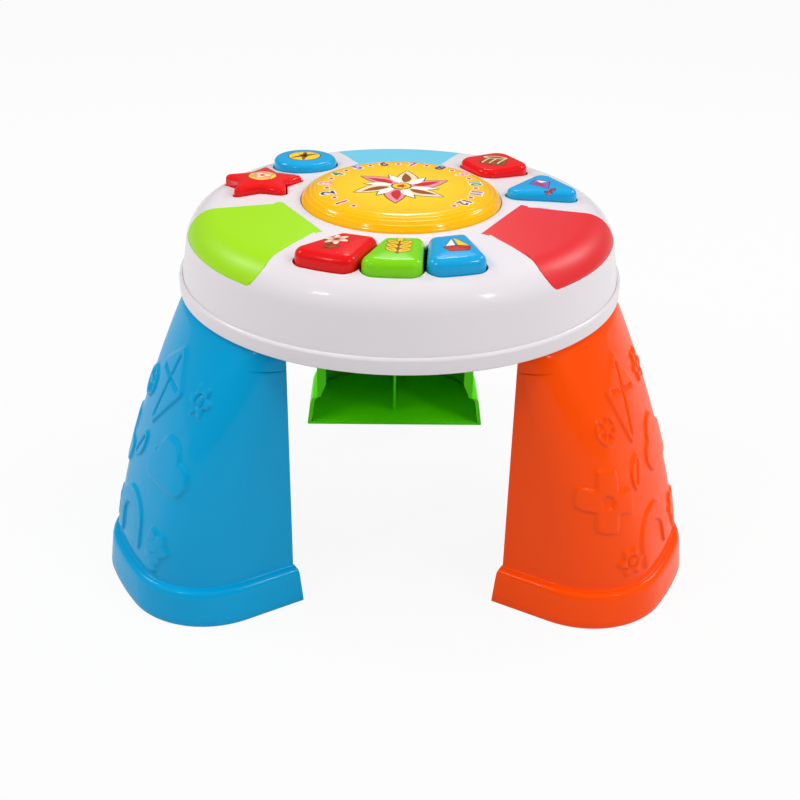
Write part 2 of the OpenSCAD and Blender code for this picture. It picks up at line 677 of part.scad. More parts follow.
// ---- Loudspeaker -------------------------------------------------------------
speaker_y = -62;
speaker_low = pan_top;
module at_speaker() { at_axis() translate([0, speaker_y, speaker_low]) children(); }
module speaker_basket() {
    color("dimgray") at_speaker() difference() {
        rotate_extrude() polygon([[speaker_r - 4, 0], [speaker_r, 0], [speaker_r, 1.2], [speaker_r - 2, 1.2],
            [13.5, 11], [0, 11], [0, 9.8], [12.6, 9.8], [speaker_r - 4, 1]]);
        for (a = [0:90:270]) rotate([0, 0, a]) translate([18.5, -4, 2.5]) cube([5, 8, 6]);
    }
}
module speaker_cone() {
    color("black") at_speaker() rotate_extrude() polygon([[0, 4.4], [6, 5.6], [speaker_r - 6, 0.6],
        [speaker_r - 4, 0.6], [speaker_r - 4, 0.9], [speaker_r - 5.6, 1.1], [6.6, 6.6], [0, 5.4]]);
}
module speaker_magnet() {
    color("gray") at_speaker() translate([0, 0, 11]) cylinder(r = 12, h = 7);
}
clamp_dirs = [20, 160, 270];
clamp_at = speaker_r + 4.5;
module speaker_clamp() {
    color("silver") at_speaker() for (a = clamp_dirs) rotate([0, 0, a]) {
        translate([clamp_at, 0, 1.2]) {
            cylinder(r = 4, h = 1.2, $fn = 32);
            translate([-6.2, -3, 0]) cube([6.2, 6, 1.2]);
            translate([0, 0, 1]) cylinder(r = 2.8, h = 1.8, $fn = 32);
            translate([0, 0, -2.4]) cylinder(r = 1.3, h = 3, $fn = 24);
        }
    }
}

// ---- Battery bay ----------------------------------------------------------------
bay_at = [0, 34];
cell_pitch = 2 * cell_r + 1.4;
bay_x = cell_len + 9;
bay_y = 3 * cell_pitch + 1.6;
bay_h = 2 * cell_r + 3.4;
bay_wall = 2;
door_t = 2.2;
door_play = 0.35;
hinge_in = door_play + door_t / 2;
cell_z = pan_top + 0.8 + cell_r;
module at_bay() { at_axis() translate([bay_at[0], bay_at[1], 0]) children(); }
module battery_cells() {
    color("dimgray") at_bay() for (i = [-1:1]) translate([0, i * cell_pitch, cell_z])
        rotate([0, i == 0 ? -90 : 90, 0]) rotate_extrude($fn = 40)
            polygon([[0, -cell_len / 2], [cell_r - 0.6, -cell_len / 2], [cell_r, 0.6 - cell_len / 2],
                [cell_r, cell_len / 2 - 2], [cell_r - 0.8, cell_len / 2 - 1.4], [2.7, cell_len / 2 - 1.4],
                [2.7, cell_len / 2], [0, cell_len / 2]]);
}
module battery_contacts() {
    color("silver") at_bay() for (s = [-1, 1], i = [-1:1])
        translate([s * (bay_x / 2 - 0.25), i * cell_pitch, cell_z])
        rotate([0, s * 90, 0]) contact_piece(s * (i == 0 ? -1 : 1));
}
// A plate against the bay's end wall, with a conical spring where the cell's flat end is
module contact_piece(kind) {
    translate([-5, -5, -0.25]) cube([10, 10, 0.5]);
    if (kind < 0) translate([0, 0, -spring_reach]) cylinder(r1 = 2.6, r2 = 4.5, h = spring_reach, $fn = 32);
    else translate([0, 0, -spring_reach]) cylinder(r1 = 2, r2 = 2.6, h = spring_reach, $fn = 32);
}
spring_reach = (bay_x - cell_len) / 2 - 0.25;
screw_tab = 8;
module door_plan(grow) {
    offset(delta = grow) {
        square([bay_x, bay_y], center = true);
        translate([0, bay_y / 2 + screw_tab / 2 - 1]) square([14, screw_tab + 2], center = true);
    }
}
module battery_door() {
    color("white") at_bay() difference() {
        union() {
            difference() {
                translate([0, 0, lip_z]) linear_extrude(door_t) door_plan(-door_play);
                translate([-bay_x / 2 - 1, -bay_y / 2 - 1, lip_z - 1])
                    cube([bay_x + 2, 1 + hinge_in, door_t + 2]);
            }
            // round edge on which the door swings
            translate([door_play - bay_x / 2, hinge_in - bay_y / 2, lip_z + door_t / 2]) rotate([0, 90, 0])
                cylinder(r = door_t / 2, h = bay_x - 2 * door_play, $fn = 40);
            // tabs that hook into slots of the bay's wall
            for (s = [-1, 1]) translate([s * 16 - 4, -bay_y / 2 + door_play, lip_z + door_t - 0.5])
                cube([8, 1.6, 2.3]);
            for (s = [-1, 1]) translate([s * 16 - 4, -bay_y / 2 - 1.2, pan_top + 0.3]) cube([8, 3, 1.1]);
        }
        // finger grooves
        for (i = [0:3]) translate([-10, -bay_y / 2 + 8 + 3 * i, lip_z - 0.1]) cube([20, 1.2, 0.9]);
        translate([0, bay_y / 2 + screw_tab / 2, lip_z - 1]) cylinder(r = 1.8, h = 6, $fn = 32);
        translate([0, bay_y / 2 + screw_tab / 2, lip_z - 0.1]) cylinder(r = 3.3, h = 1.1, $fn = 32);
    }
}
module door_screw() {
    color("silver") at_bay() translate([0, bay_y / 2 + screw_tab / 2, lip_z + 1]) screw(1.5, 9, 3, 1);
}

// ---- Switch ---------------------------------------------------------------------
switch_y = -128;
switch_travel = 8;
switch_w = 8;
module at_switch() { at_axis() translate([0, switch_y, 0]) children(); }
module power_switch() {
    color("dimgray") at_switch() difference() {
        translate([-14.5, -5, pan_top + 3.4]) cube([29, 10, 7]);
        translate([-switch_travel / 2 - 2.6, -1.8, pan_top + 3]) cube([switch_travel + 5.2, 3.6, 4.5]);
    }
}
module switch_knob() {
    color("black") at_switch() translate([-switch_travel / 2, 0, 0]) {
        translate([-4, -switch_w / 2 + 0.5, lip_z - 1.8]) difference() {
            cube([8, switch_w - 1, pan_t + 1.8 + 1]);
            for (i = [0:2]) translate([1.4 + 2 * i, -1, -0.1]) cube([1, 12, 0.8]);
        }
        translate([-7, -switch_w / 2 - 2, pan_top + seat]) cube([14, switch_w + 4, 1.4]);
        translate([-2, -1.4, pan_top + 1]) cube([4, 2.8, 6]);
    }
}

// ---- Leads between the boards, the light, the loudspeaker, the bay and the switch ------
lead_r = 0.9;
bend_r = 1.15;  // each bend is a little thicker than the strand
under_board = lip_z + board_z - bend_r;
over_light = cage_floor + 2 + board_t + bend_r;
module strand(a, b) {
    d = b - a;
    translate(a) rotate([0, acos(d[2] / norm(d)), atan2(d[1], d[0])])
        cylinder(r = lead_r, h = norm(d), $fn = 24);
    translate(b) sphere(r = bend_r, $fn = 24);
}
module lead(points) {
    translate(points[0]) sphere(r = bend_r, $fn = 24);
    for (i = [1:len(points) - 1]) strand(points[i - 1], points[i]);
}
function on_key_board(turn, r) = concat(polar([key_dir + turn, r]), [under_board]);
module wire_leads() {
    slack = under_board - 6;
    color("firebrick") at_axis() {
        lead([[star_at[0], star_at[1] - 5, under_board], [star_at[0] + 3, -40, slack],
            on_key_board(-34, key_mid - 5)]);
        lead([[fan_at[0], fan_at[1] - 5, under_board], [fan_at[0] - 5, -40, slack],
            on_key_board(34, key_mid - 5)]);
        lead([[0, 4 - light_r, over_light], [0, -4.5 - light_r, over_light], [0, -66, cage_floor + 1],
            [0, -66, cage_floor - 4],
            [-3, -100, slack], on_key_board(0, key_mid - 10)]);
        lead([[0, speaker_y - 20.7, speaker_low + 7], [6, speaker_y - 34, slack - 8],
            on_key_board(3, key_mid - 8)]);
        lead([[bay_x / 2 + bay_wall + bend_r, 20, cell_z], [50, -20, slack - 6], [40, -90, slack],
            on_key_board(20, key_mid - 5)]);
        lead([[-6, switch_y, pan_top + 10.4 + bend_r], [-6, switch_y, under_board]]);
    }
}

// ---- Shells ------------------------------------------------------------------------
boss_dirs = [for (i = [0:2], s = [-22, 22]) 30 + 120 * i + s];
boss_at = table_r - 18;
boss_r = 4.5;
module top_shell() {
    color("whitesmoke") at_axis() difference() {
        union() {
            skin(0, shell_t);
            // trays that hold the colour panels
            for (d = leg_dirs) intersection() {
                skin(panel_t, shell_t);
                column() rotate(d) panel_plan(shell_t);
            }
            inside_shell() {
                around(boss_dirs, boss_at, lip_z + 14) cylinder(r = boss_r, h = 80, $fn = 40);
                for (p = all_posts) translate([polar(p)[0], polar(p)[1], lip_z + board_z + board_t])
                    cylinder(r = 3.4, h = 60, $fn = 32);
                around(ear_dirs, ear_r - 1, cage_floor + 3) cylinder(r = 3.4, h = 60, $fn = 32);
                // ears that hold the key pins
                for (i = [-1:1], s = [-1, 1]) rotate([0, 0, key_dir + i * key_pitch])
                    translate([pin_x - 2.6, s * 11.4 - 1.2, pin_z - 3.4]) cube([5.2, 2.4, 40]);
            }
        }
        for (d = leg_dirs) intersection() {
            skin(-1, panel_t + 1);
            column() rotate(d) panel_plan(0);
        }
        for (d = leg_dirs) rotate([0, 0, d]) panel_pegs(2.15, 40);
        column() {
            circle(r = sun_r + sun_gap, $fn = 120);
            key_opening();
        }
        column() place(oval_at) oval_plan(button_gap);
        column() place(star_at) star_plan(button_gap);
        column() place(square_at) square_plan(button_gap);
        column() place(fan_at) fan_plan(button_gap);
        around(boss_dirs, boss_at, lip_z) cylinder(r = 1.4, h = 28, $fn = 24);
        for (p = all_posts) translate([polar(p)[0], polar(p)[1], lip_z])
            cylinder(r = 1.2, h = board_z + board_t + 9, $fn = 24);
        around(ear_dirs, ear_r - 1, cage_floor) cylinder(r = 1.2, h = 11, $fn = 24);
        for (i = [-1:1]) rotate([0, 0, key_dir + i * key_pitch])
            translate([pin_x, pin_len / 2 + 0.2, pin_z]) rotate([90, 0, 0])
                cylinder(r = pin_r + 0.02, h = pin_len + 0.4, $fn = 40);
    }
}
grille_r = 22;
module base_pan() {
    color("whitesmoke") difference() {
        union() {
            at_axis() rotate_extrude() polygon(concat(
                [[0, lip_z], [table_r - 1.2, lip_z], [table_r, lip_z + 1.2]],
                arc(table_r - 2.8, lip_top - 3.1, 2.8, 0, 78, 4),
                [[wall_r + 0.25, lip_top - seat], [wall_r + 0.25, tongue_z - seat],
                    [wall_r - 4, tongue_z - seat],
                 [wall_r - 4, pan_top], [0, pan_top]]));
            // bosses for the housing screws
            at_axis() around(boss_dirs, boss_at, lip_z)
                cylinder(r = boss_r, h = 14, $fn = 40);
            // sockets for the leg tongues
            at_axis() for (d = leg_dirs) rotate([0, 0, d]) tongue_places()
                translate([-tongue_t / 2 - 5, -tongue_w / 2 - 3, lip_z])
                    cube([tongue_t + 8, tongue_w + 6, pan_t + 4]);
            // battery bay, an upturned box
            at_bay() translate([-bay_x / 2 - bay_wall, -bay_y / 2 - bay_wall, lip_z])
                cube([bay_x + 2 * bay_wall, bay_y + 2 * bay_wall, pan_t + bay_h + bay_wall]);
            at_bay() translate([0, bay_y / 2 + screw_tab / 2, lip_z]) cylinder(r = 5, h = 14, $fn = 40);
            at_bay() translate([-9, bay_y / 2 - 1, lip_z]) cube([18, screw_tab + 4, pan_t + 2]);
            // rim round the loudspeaker and its clamp bosses
            at_speaker() difference() {
                cylinder(r = speaker_r + 2, h = 1.2);
                translate([0, 0, -1]) cylinder(r = speaker_r + seat, h = 8);
            }
            at_speaker() around(clamp_dirs, clamp_at, -1) cylinder(r = 4, h = 2.2, $fn = 32);
            // posts under the switch
            at_switch() for (s = [-1, 1]) translate([s * 16 - 1.5, -5, lip_z]) cube([3, 10, pan_t + 9]);
            at_switch() for (s = [-1, 1]) translate([s * 13.1 - 1.5, -5, lip_z]) cube([3, 10, pan_t + 3.4]);
        }
        at_axis() around(boss_dirs, boss_at, lip_z - 1) {
            cylinder(r = 1.8, h = 20, $fn = 32);
            cylinder(r = 3.6, h = 4, $fn = 32);
        }
        at_axis() for (d = leg_dirs) rotate([0, 0, d]) tongue_places()
            translate([-tongue_t / 2 - 2, -tongue_w / 2 - slide, lip_z - 1])
                cube([tongue_t + 2 + slide, tongue_w + 2 * slide, 20]);
        at_bay() translate([-bay_x / 2, -bay_y / 2, lip_z - 1]) cube([bay_x, bay_y, pan_t + bay_h + 1]);
        at_bay() translate([0, 0, lip_z - 1]) linear_extrude(door_t + seat + 1) door_plan(0);
        at_bay() for (s = [-1, 1]) translate([s * 16 - 4.5, -bay_y / 2 - bay_wall + 0.4, pan_top])
            cube([9, 3, 2.6]);
        at_bay() translate([0, bay_y / 2 + screw_tab / 2, lip_z]) cylinder(r = 1.8, h = 12, $fn = 24);
        at_speaker() around(clamp_dirs, clamp_at, -1.4) cylinder(r = 1.2, h = 4, $fn = 24);
        at_speaker() cylinder(r = speaker_r + seat, h = 8);
        // loudspeaker grille
        at_speaker() for (x = [-18:6:18])
            let (h = sqrt(grille_r * grille_r - x * x)) translate([x - 1.2, -h, -pan_t - 1])
                cube([2.4, 2 * h, pan_t + 2]);
        // slot of the switch
        at_switch() translate([-switch_travel / 2 - 4 - slide, -switch_w / 2, lip_z - 1])
            cube([switch_travel + 8 + 2 * slide, switch_w, pan_t + 1.2]);
    }
}
module housing_screws() {
    color("silver") at_axis() around(boss_dirs, boss_at, lip_z + 3) screw(1.5, 22, 3.2, 2.2);
}

top_shell();
base_pan();
left_panel();
right_panel();
rear_panel();
sun_dome();
sun_disc();
sun_cage();
sun_springs();
light_board();
light_leds();
red_key();
green_key();
blue_key();
key_pins();
red_key_contact();
green_key_contact();
blue_key_contact();
oval_button();
star_button();
square_button();
fan_button();
oval_contact();
star_contact();
square_contact();
fan_contact();
key_board();
left_board();
right_board();
board_screws();
sound_chip();
wire_leads();
speaker_basket();
speaker_cone();
speaker_magnet();
speaker_clamp();
battery_cells();
battery_contacts();
battery_door();
door_screw();
power_switch();
switch_knob();
left_leg();
right_leg();
rear_leg();
housing_screws();
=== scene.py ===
# %% [markdown]
# # A musical activity table
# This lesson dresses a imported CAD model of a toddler's play table: a domed white top with
# coloured panels, keys and buttons, on three hollow legs. The CAD gives every size and place.
# Here the visible pieces get finer curves, raised patterns, prints, plastic finishes and light.

import json
from math import acos, asin, atan2, ceil, cos, hypot, pi, radians, sin, sqrt, tan

import bmesh
import bpy
from mathutils import Matrix, Vector
from mathutils.bvhtree import BVHTree


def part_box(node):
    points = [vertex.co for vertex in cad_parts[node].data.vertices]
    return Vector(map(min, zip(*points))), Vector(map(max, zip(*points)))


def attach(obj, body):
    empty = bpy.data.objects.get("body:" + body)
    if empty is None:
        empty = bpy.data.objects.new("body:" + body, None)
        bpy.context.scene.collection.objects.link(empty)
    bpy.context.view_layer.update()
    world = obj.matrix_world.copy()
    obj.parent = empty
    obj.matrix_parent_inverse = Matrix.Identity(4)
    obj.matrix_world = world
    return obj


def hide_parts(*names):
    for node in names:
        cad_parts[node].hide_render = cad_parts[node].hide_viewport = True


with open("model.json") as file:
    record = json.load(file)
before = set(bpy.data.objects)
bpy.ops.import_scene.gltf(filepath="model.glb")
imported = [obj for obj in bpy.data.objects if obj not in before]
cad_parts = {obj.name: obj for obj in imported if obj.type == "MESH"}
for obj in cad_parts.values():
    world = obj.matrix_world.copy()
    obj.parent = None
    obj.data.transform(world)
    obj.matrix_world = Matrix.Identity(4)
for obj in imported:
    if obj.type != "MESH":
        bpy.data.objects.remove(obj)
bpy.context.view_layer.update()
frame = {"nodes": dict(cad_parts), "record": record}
MM = 0.001

# %% [markdown]
# Every size below is in millimetres. The play top's own axis isn't the frame's origin, because
# two feet stand in front and one behind. So the axis is measured from the CAD shell, and each
# piece is drawn round that axis and then moved to it.

# %% The play top's axis and heights
shell_low, shell_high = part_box("top_shell")
AXIS_Y = (shell_low.y + shell_high.y) / 2 / MM
LIP_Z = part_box("base_pan")[0].z / MM
CROWN_PEAK, CROWN_RAD = LIP_Z + 69, 2100


def crown(r):
    """Height of the gently crowned top at a distance r from its axis."""
    return CROWN_PEAK - r * r / (2 * CROWN_RAD)


def at_axis(points):
    """Points drawn round the play top's axis, in millimetres, as frame points in metres."""
    return [Vector((x * MM, (y + AXIS_Y) * MM, z * MM)) for x, y, z in points]


def on_axis(z):
    return at_axis([(0, 0, z)])[0]


def polar(r, angle):
    return r * cos(angle), r * sin(angle)


def circle(r, count):
    return [polar(r, 2 * pi * k / count) for k in range(count)]


SQUARE_CORNERS = ((-1, -1), (1, -1), (1, 1), (-1, 1))


def in_scene(name, data):
    thing = bpy.data.objects.new(name, data)
    bpy.context.scene.collection.objects.link(thing)
    return thing


print("axis at y =", round(AXIS_Y, 2), "lip at z =", round(LIP_Z, 2))

# %% [markdown]
# The camera stands a metre away, a little above the top, as a buyer would look at the table. Its
# three axes are written out, so that it can lean by one degree, which look-at helpers can't do.

# %% Camera
CAM_AZIMUTH, CAM_ELEVATION, CAM_LEAN = -1.127, 28.63, radians(1.0226)
CAM_DISTANCE, CAM_TARGET_Z, CAM_LENS, CAM_SHIFT = 1013, 108, 51.82, (0.00296, -0.00308)


def sky_way(azimuth, elevation):
    """A direction, from its turn away from the front and its height angle, in degrees."""
    a, e = radians(azimuth), radians(elevation)
    return Vector((sin(a) * cos(e), -cos(a) * cos(e), sin(e)))


def make_camera():
    back = sky_way(CAM_AZIMUTH, CAM_ELEVATION)
    level = Vector((*polar(1, radians(CAM_AZIMUTH)), 0))
    right = level * cos(CAM_LEAN) + back.cross(level) * sin(CAM_LEAN)
    axes = Matrix((right, back.cross(right), back)).transposed()
    spot = on_axis(CAM_TARGET_Z) + back * CAM_DISTANCE * MM
    camera = in_scene("camera", bpy.data.cameras.new("camera"))
    camera.matrix_world = Matrix.Translation(spot) @ axes.to_4x4()
    camera.data.lens = CAM_LENS
    camera.data.shift_x, camera.data.shift_y = CAM_SHIFT
    camera.data.clip_start, camera.data.clip_end = 0.01, 20
    bpy.context.scene.camera = camera
    return camera


camera = make_camera()
print("camera at", [round(v, 3) for v in camera.location])

# %% [markdown]
# Injection-moulded plastic is never quite even: its gloss varies with how the mould was polished
# and its surface has a very faint ripple. Both are noise on Object coordinates, so they stay with
# the piece. Rolled and cast metal has fine streaks instead. Each recipe is a node group with its
# amounts as inputs, and both groups vary roughness, tone and bump in the same way.

# %% Shader groups for plastic and metal
def plug(tree, value, socket):
    """Wires an output to an input, or gives the input a plain value."""
    if isinstance(value, bpy.types.NodeSocket):
        tree.links.new(value, socket)
    else:
        socket.default_value = value


def add(tree, kind, **sockets):
    """A new node; each keyword names an input, with underscores for its spaces."""
    node = tree.nodes.new(kind)
    for label, value in sockets.items():
        plug(tree, value, node.inputs[label.replace("_", " ")])
    return node


def maths(tree, operation, a, b):
    node = tree.nodes.new("ShaderNodeMath")
    node.operation = operation
    plug(tree, a, node.inputs[0])
    plug(tree, b, node.inputs[1])
    return node.outputs[0]


def new_group(name, amounts):
    """A shader group: colour and named amounts in; colour, roughness and normal out."""
    group = bpy.data.node_groups.new(name, "ShaderNodeTree")
    face = group.interface
    face.new_socket("Colour", in_out="INPUT", socket_type="NodeSocketColor")
    for label, value in amounts.items():
        face.new_socket(label, in_out="INPUT", socket_type="NodeSocketFloat").default_value = value
    for label, kind in (("Colour", "Color"), ("Roughness", "Float"), ("Normal", "Vector")):
        face.new_socket(label, in_out="OUTPUT", socket_type="NodeSocket" + kind)
    given, put = group.nodes.new("NodeGroupInput"), group.nodes.new("NodeGroupOutput")
    return group, given.outputs, put.inputs


def vary(group, given, put, noise, amount, share, bumps, strength, depth):
    """Noise swings the roughness, and the tone by a share of that; bumps tilt the normal."""
    swing = maths(group, "MULTIPLY", maths(group, "SUBTRACT", noise, 0.5), amount)
    plug(group, maths(group, "ADD", given["Roughness"], swing), put["Roughness"])
    tone = maths(group, "ADD", 1.0, maths(group, "MULTIPLY", swing, share))
    toned = add(group, "ShaderNodeHueSaturation", Color=given["Colour"], Value=tone)
    plug(group, toned.outputs[0], put["Colour"])
    bump = add(group, "ShaderNodeBump", Strength=strength, Distance=depth, Height=bumps)
    plug(group, bump.outputs[0], put["Normal"])


def make_moulding_group():
    group, given, put = new_group("Moulding", {"Roughness": 0.2, "Unevenness": 0.05, "Ripple": 0.02})
    place = group.nodes.new("ShaderNodeTexCoord").outputs["Object"]
    cloud = add(group, "ShaderNodeTexNoise", Vector=place, Scale=18, Detail=3).outputs[0]
    ripple = add(group, "ShaderNodeTexNoise", Vector=place, Scale=60, Detail=1).outputs[0]
    vary(group, given, put, cloud, given["Unevenness"], 0.5, ripple, given["Ripple"], 0.0004)
    return group


def make_metal_group():
    group, given, put = new_group("Drawn metal", {"Roughness": 0.35, "Streaks": 0.15})
    place = group.nodes.new("ShaderNodeTexCoord").outputs["Object"]
    stretched = add(group, "ShaderNodeMapping", Vector=place, Scale=(900, 900, 60)).outputs[0]
    streak = add(group, "ShaderNodeTexNoise", Vector=stretched, Scale=1, Detail=4).outputs[0]
    vary(group, given, put, streak, given["Streaks"], 1, streak, 0.15, 0.0001)
    return group


moulding, drawn_metal = make_moulding_group(), make_metal_group()
for group in (moulding, drawn_metal):
    print(group.name, [s.name for s in group.interface.items_tree])

# %% [markdown]
# Colours are noted as they look on a screen, 0 to 255, and turned into the linear values that the
# renderer mixes. Toy plastic is a plain colour under a clear hard gloss, so each finish is one
# Principled shader with a thin coat. Panels are satin, keys shine most, legs shine least.

# %% Plastic finishes
def screen_colour(red, green, blue):
    def linear(v):
        v /= 255
        return v / 12.92 if v <= 0.04045 else ((v + 0.055) / 1.055) ** 2.4
    return (linear(red), linear(green), linear(blue), 1)


def make_finish(name, group, colour, amounts, settings):
    """A Principled material fed by a shader group, with its own settings beside."""
    material = bpy.data.materials.new(name)
    material.use_nodes = True
    tree = material.node_tree
    shader = tree.nodes["Principled BSDF"]
    surface = tree.nodes.new("ShaderNodeGroup")
    surface.node_tree = group
    surface.inputs["Colour"].default_value = screen_colour(*colour)
    for node, values in ((surface, amounts), (shader, settings)):
        for label, value in values.items():
            node.inputs[label].default_value = value
    for label, socket in (("Colour", "Base Color"), ("Roughness", "Roughness"), ("Normal", "Normal")):
        tree.links.new(surface.outputs[label], shader.inputs[socket])
    return material


def make_plastic(name, colour, roughness=0.26, coat=0.22, uneven=0.05, ripple=0.02, specular=0.14):
    amounts = {"Roughness": roughness, "Unevenness": uneven, "Ripple": ripple}
    gloss = {"Specular IOR Level": specular, "Coat Weight": coat, "Coat Roughness": 0.04}
    return make_finish(name, moulding, colour, amounts, gloss)


FINISHES = {
    "shell_white": (229, 223, 227), "panel_lime": (162, 224, 0), "panel_red": (226, 36, 42),
    "panel_sky": (108, 199, 228), "key_red": (232, 14, 18), "key_green": (126, 214, 16),
    "key_blue": (16, 164, 222), "leg_blue": (0, 158, 212), "leg_orange": (255, 78, 0),
    "leg_green": (88, 230, 4),
}
GLOSS = {
    "shell": {}, "panel": {"specular": 0.5, "roughness": 0.4, "coat": 0},
    "key": {"roughness": 0.24, "coat": 0.32}, "leg": {"specular": 0.08, "roughness": 0.24, "coat": 0.18},
}
plastic = {name: make_plastic(name, colour, **GLOSS[name.split("_")[0]])
           for name, colour in FINISHES.items()}
print("finishes:", sorted(plastic))

# %% [markdown]
# A white studio is a white floor that never ends. The floor here is a wide sheet. To the camera,
# and faintly in reflections, it adds plain white to its own pale colour, so it reads as paper but
# still keeps the soft shadow under the feet. Light Path tells those rays from the ones that light
# the object, so the extra white never lights the plastic. From below, the floor is clear.

# %% Floor and studio air
FLOOR_HALF, FLOOR_WHITE, FLOOR_MIRROR, AIR_LIGHT = 6, 0.91, 0.35, 0.18


def seen_rays(tree):
    """1 for camera and transmission rays, less for mirrored ones, else 0."""
    path = tree.nodes.new("ShaderNodeLightPath").outputs
    mirror = maths(tree, "MULTIPLY", path["Is Glossy Ray"], FLOOR_MIRROR)
    mirror = maths(tree, "MAXIMUM", mirror, path["Is Transmission Ray"])
    return maths(tree, "MAXIMUM", path["Is Camera Ray"], mirror)


def mixed(tree, share, first, second):
    mix = tree.nodes.new("ShaderNodeMixShader")
    for source, socket in zip((share, first, second), mix.inputs):
        tree.links.new(source, socket)
    return mix.outputs[0]


def make_floor():
    mesh = bpy.data.meshes.new("studio_floor")
    corners = [(x * FLOOR_HALF, y * FLOOR_HALF, 0) for x, y in SQUARE_CORNERS]
    mesh.from_pydata(corners, [], [(0, 1, 2, 3)])
    material = bpy.data.materials.new("floor_white")
    material.use_nodes = True
    tree = material.node_tree
    shader = tree.nodes["Principled BSDF"]
    shader.inputs["Base Color"].default_value = (0.7, 0.7, 0.7, 1)
    shader.inputs["Roughness"].default_value = 0.9
    shader.inputs["Specular IOR Level"].default_value = 0.1
    white = tree.nodes.new("ShaderNodeEmission").outputs[0]
    share = maths(tree, "MULTIPLY", seen_rays(tree), FLOOR_WHITE)
    paper = mixed(tree, share, shader.outputs[0], white)
    below = tree.nodes.new("ShaderNodeNewGeometry").outputs["Backfacing"]
    clear = tree.nodes.new("ShaderNodeBsdfTransparent").outputs[0]
    tree.links.new(mixed(tree, below, paper, clear), tree.nodes["Material Output"].inputs["Surface"])
    mesh.materials.append(material)
    in_scene("studio_floor", mesh)


def make_world():
    world = bpy.data.worlds.new("studio_air")
    world.use_nodes = True
    tree = world.node_tree
    seen = tree.nodes.new("ShaderNodeLightPath").outputs["Is Camera Ray"]
    lift = maths(tree, "MULTIPLY", seen, 1 - AIR_LIGHT)
    plain = tree.nodes["Background"]
    plain.inputs["Color"].default_value = (1, 1, 1, 1)
    tree.links.new(maths(tree, "ADD", lift, AIR_LIGHT), plain.inputs["Strength"])
    bpy.context.scene.world = world


make_floor()
make_world()
print("floor is", FLOOR_WHITE, "paper white to the camera")

# %% [markdown]
# Two kinds of lamps work together. Wide, even fill lamps set the plain level at which a colour
# looks as it is written, and stay out of reflections. Small softboxes are weak, but the glossy
# plastic mirrors them as the crisp bright spots that say hard, polished toy.

# %% Lamps
# turn from the front, height angle and spread in degrees, strength
FILLS = {"fill_left": (-72, 36, 50, 0.85), "fill_right": (72, 32, 50, 1.15), "fill_top": (10, 80, 60, 0.9)}
# turn, height angle, distance and size in metres, power
SOFTBOXES = {
    "softbox_left": (-46, 40, 1.7, (0.22, 0.22), 2.6), "softbox_right": (48, 36, 1.7, (0.16, 0.3), 3),
    "softbox_back": (176, 42, 1.6, (0.3, 0.12), 2.4), "softbox_far_left": (-106, 40, 1.7, (0.3, 0.4), 5.5),
    "softbox_far_right": (118, 36, 1.7, (0.3, 0.4), 5.5),
}
SOFTBOX_AIM = on_axis(CROWN_PEAK - 60)

for name, (azimuth, elevation, spread, strength) in FILLS.items():
    lamp = in_scene(name, bpy.data.lights.new(name, "SUN"))
    lamp.data.energy, lamp.data.angle = strength, radians(spread)
    lamp.rotation_euler = sky_way(azimuth, elevation).to_track_quat("Z", "Y").to_euler()
    lamp.visible_glossy = False
for name, (azimuth, elevation, distance, size, power) in SOFTBOXES.items():
    lamp = in_scene(name, bpy.data.lights.new(name, "AREA"))
    lamp.data.shape = "RECTANGLE"
    lamp.data.size, lamp.data.size_y = size
    lamp.data.energy = power
    lamp.location = SOFTBOX_AIM + sky_way(azimuth, elevation) * distance
    lamp.rotation_euler = (SOFTBOX_AIM - lamp.location).to_track_quat("-Z", "Y").to_euler()
bpy.context.scene.view_settings.view_transform = "Standard"

# %% [markdown]
# Most pieces here start as lists of rings or outlines. These helpers turn them into closed
# meshes: a ring is a list of points, neighbouring rings are joined with quads, and a fan of
# triangles closes an end. A maker would call it lofting, and it keeps the mesh regular.

# %% Mesh helpers
def join_rings(mesh, rings, loop=True):
    """Quads between neighbouring rings; a ring runs clockwise, seen from the end it leads to."""
    rows = [[mesh.verts.new(p) for p in ring] for ring in rings]
    count = len(rows[0])
    for lower, upper in zip(rows, rows[1:]):
        for j in range(count if loop else count - 1):
            k = (j + 1) % count
            mesh.faces.new((lower[j], lower[k], upper[k], upper[j]))
    return rows


def close_end(mesh, row, centre, up):
    hub = mesh.verts.new(centre)
    for j in range(len(row)):
        pair = (row[j], row[(j + 1) % len(row)])
        mesh.faces.new((hub, *pair) if up else (hub, pair[1], pair[0]))


def block(mesh, bottom, top):
    """A closed solid between two outlines."""
    rows = join_rings(mesh, [bottom, top])
    mesh.faces.new(list(reversed(rows[0])))
    mesh.faces.new(rows[1])


def prism(mesh, flat, low, high):
    """An upright block over frame points that run anticlockwise; heights in millimetres."""
    block(mesh, *[[(p.x, p.y, z * MM) for p in flat] for z in (low, high)])


def rod(mesh, start, end, radius):
    """A closed round bar between two frame points; its radius in millimetres."""
    turn = (end - start).to_track_quat("Z", "Y").to_matrix()
    around = [turn @ Vector((x, y, 0)) * (radius * MM) for x, y in circle(1, 24)]
    block(mesh, [start + p for p in around], [end + p for p in around])


def lathe(profile, sides, top, bottom):
    """A closed turned solid; its [radius, height] line ends at the heights top and bottom."""
    mesh = bmesh.new()
    rows = join_rings(mesh, [at_axis([(x, y, z) for x, y in circle(r, sides)]) for r, z in profile])
    close_end(mesh, rows[-1], on_axis(top), True)
    close_end(mesh, rows[0], on_axis(bottom), False)
    return mesh


def mesh_data(name, mesh):
    """Turns a bmesh into mesh data and frees it."""
    data = bpy.data.meshes.new(name)
    mesh.to_mesh(data)
    mesh.free()
    return data


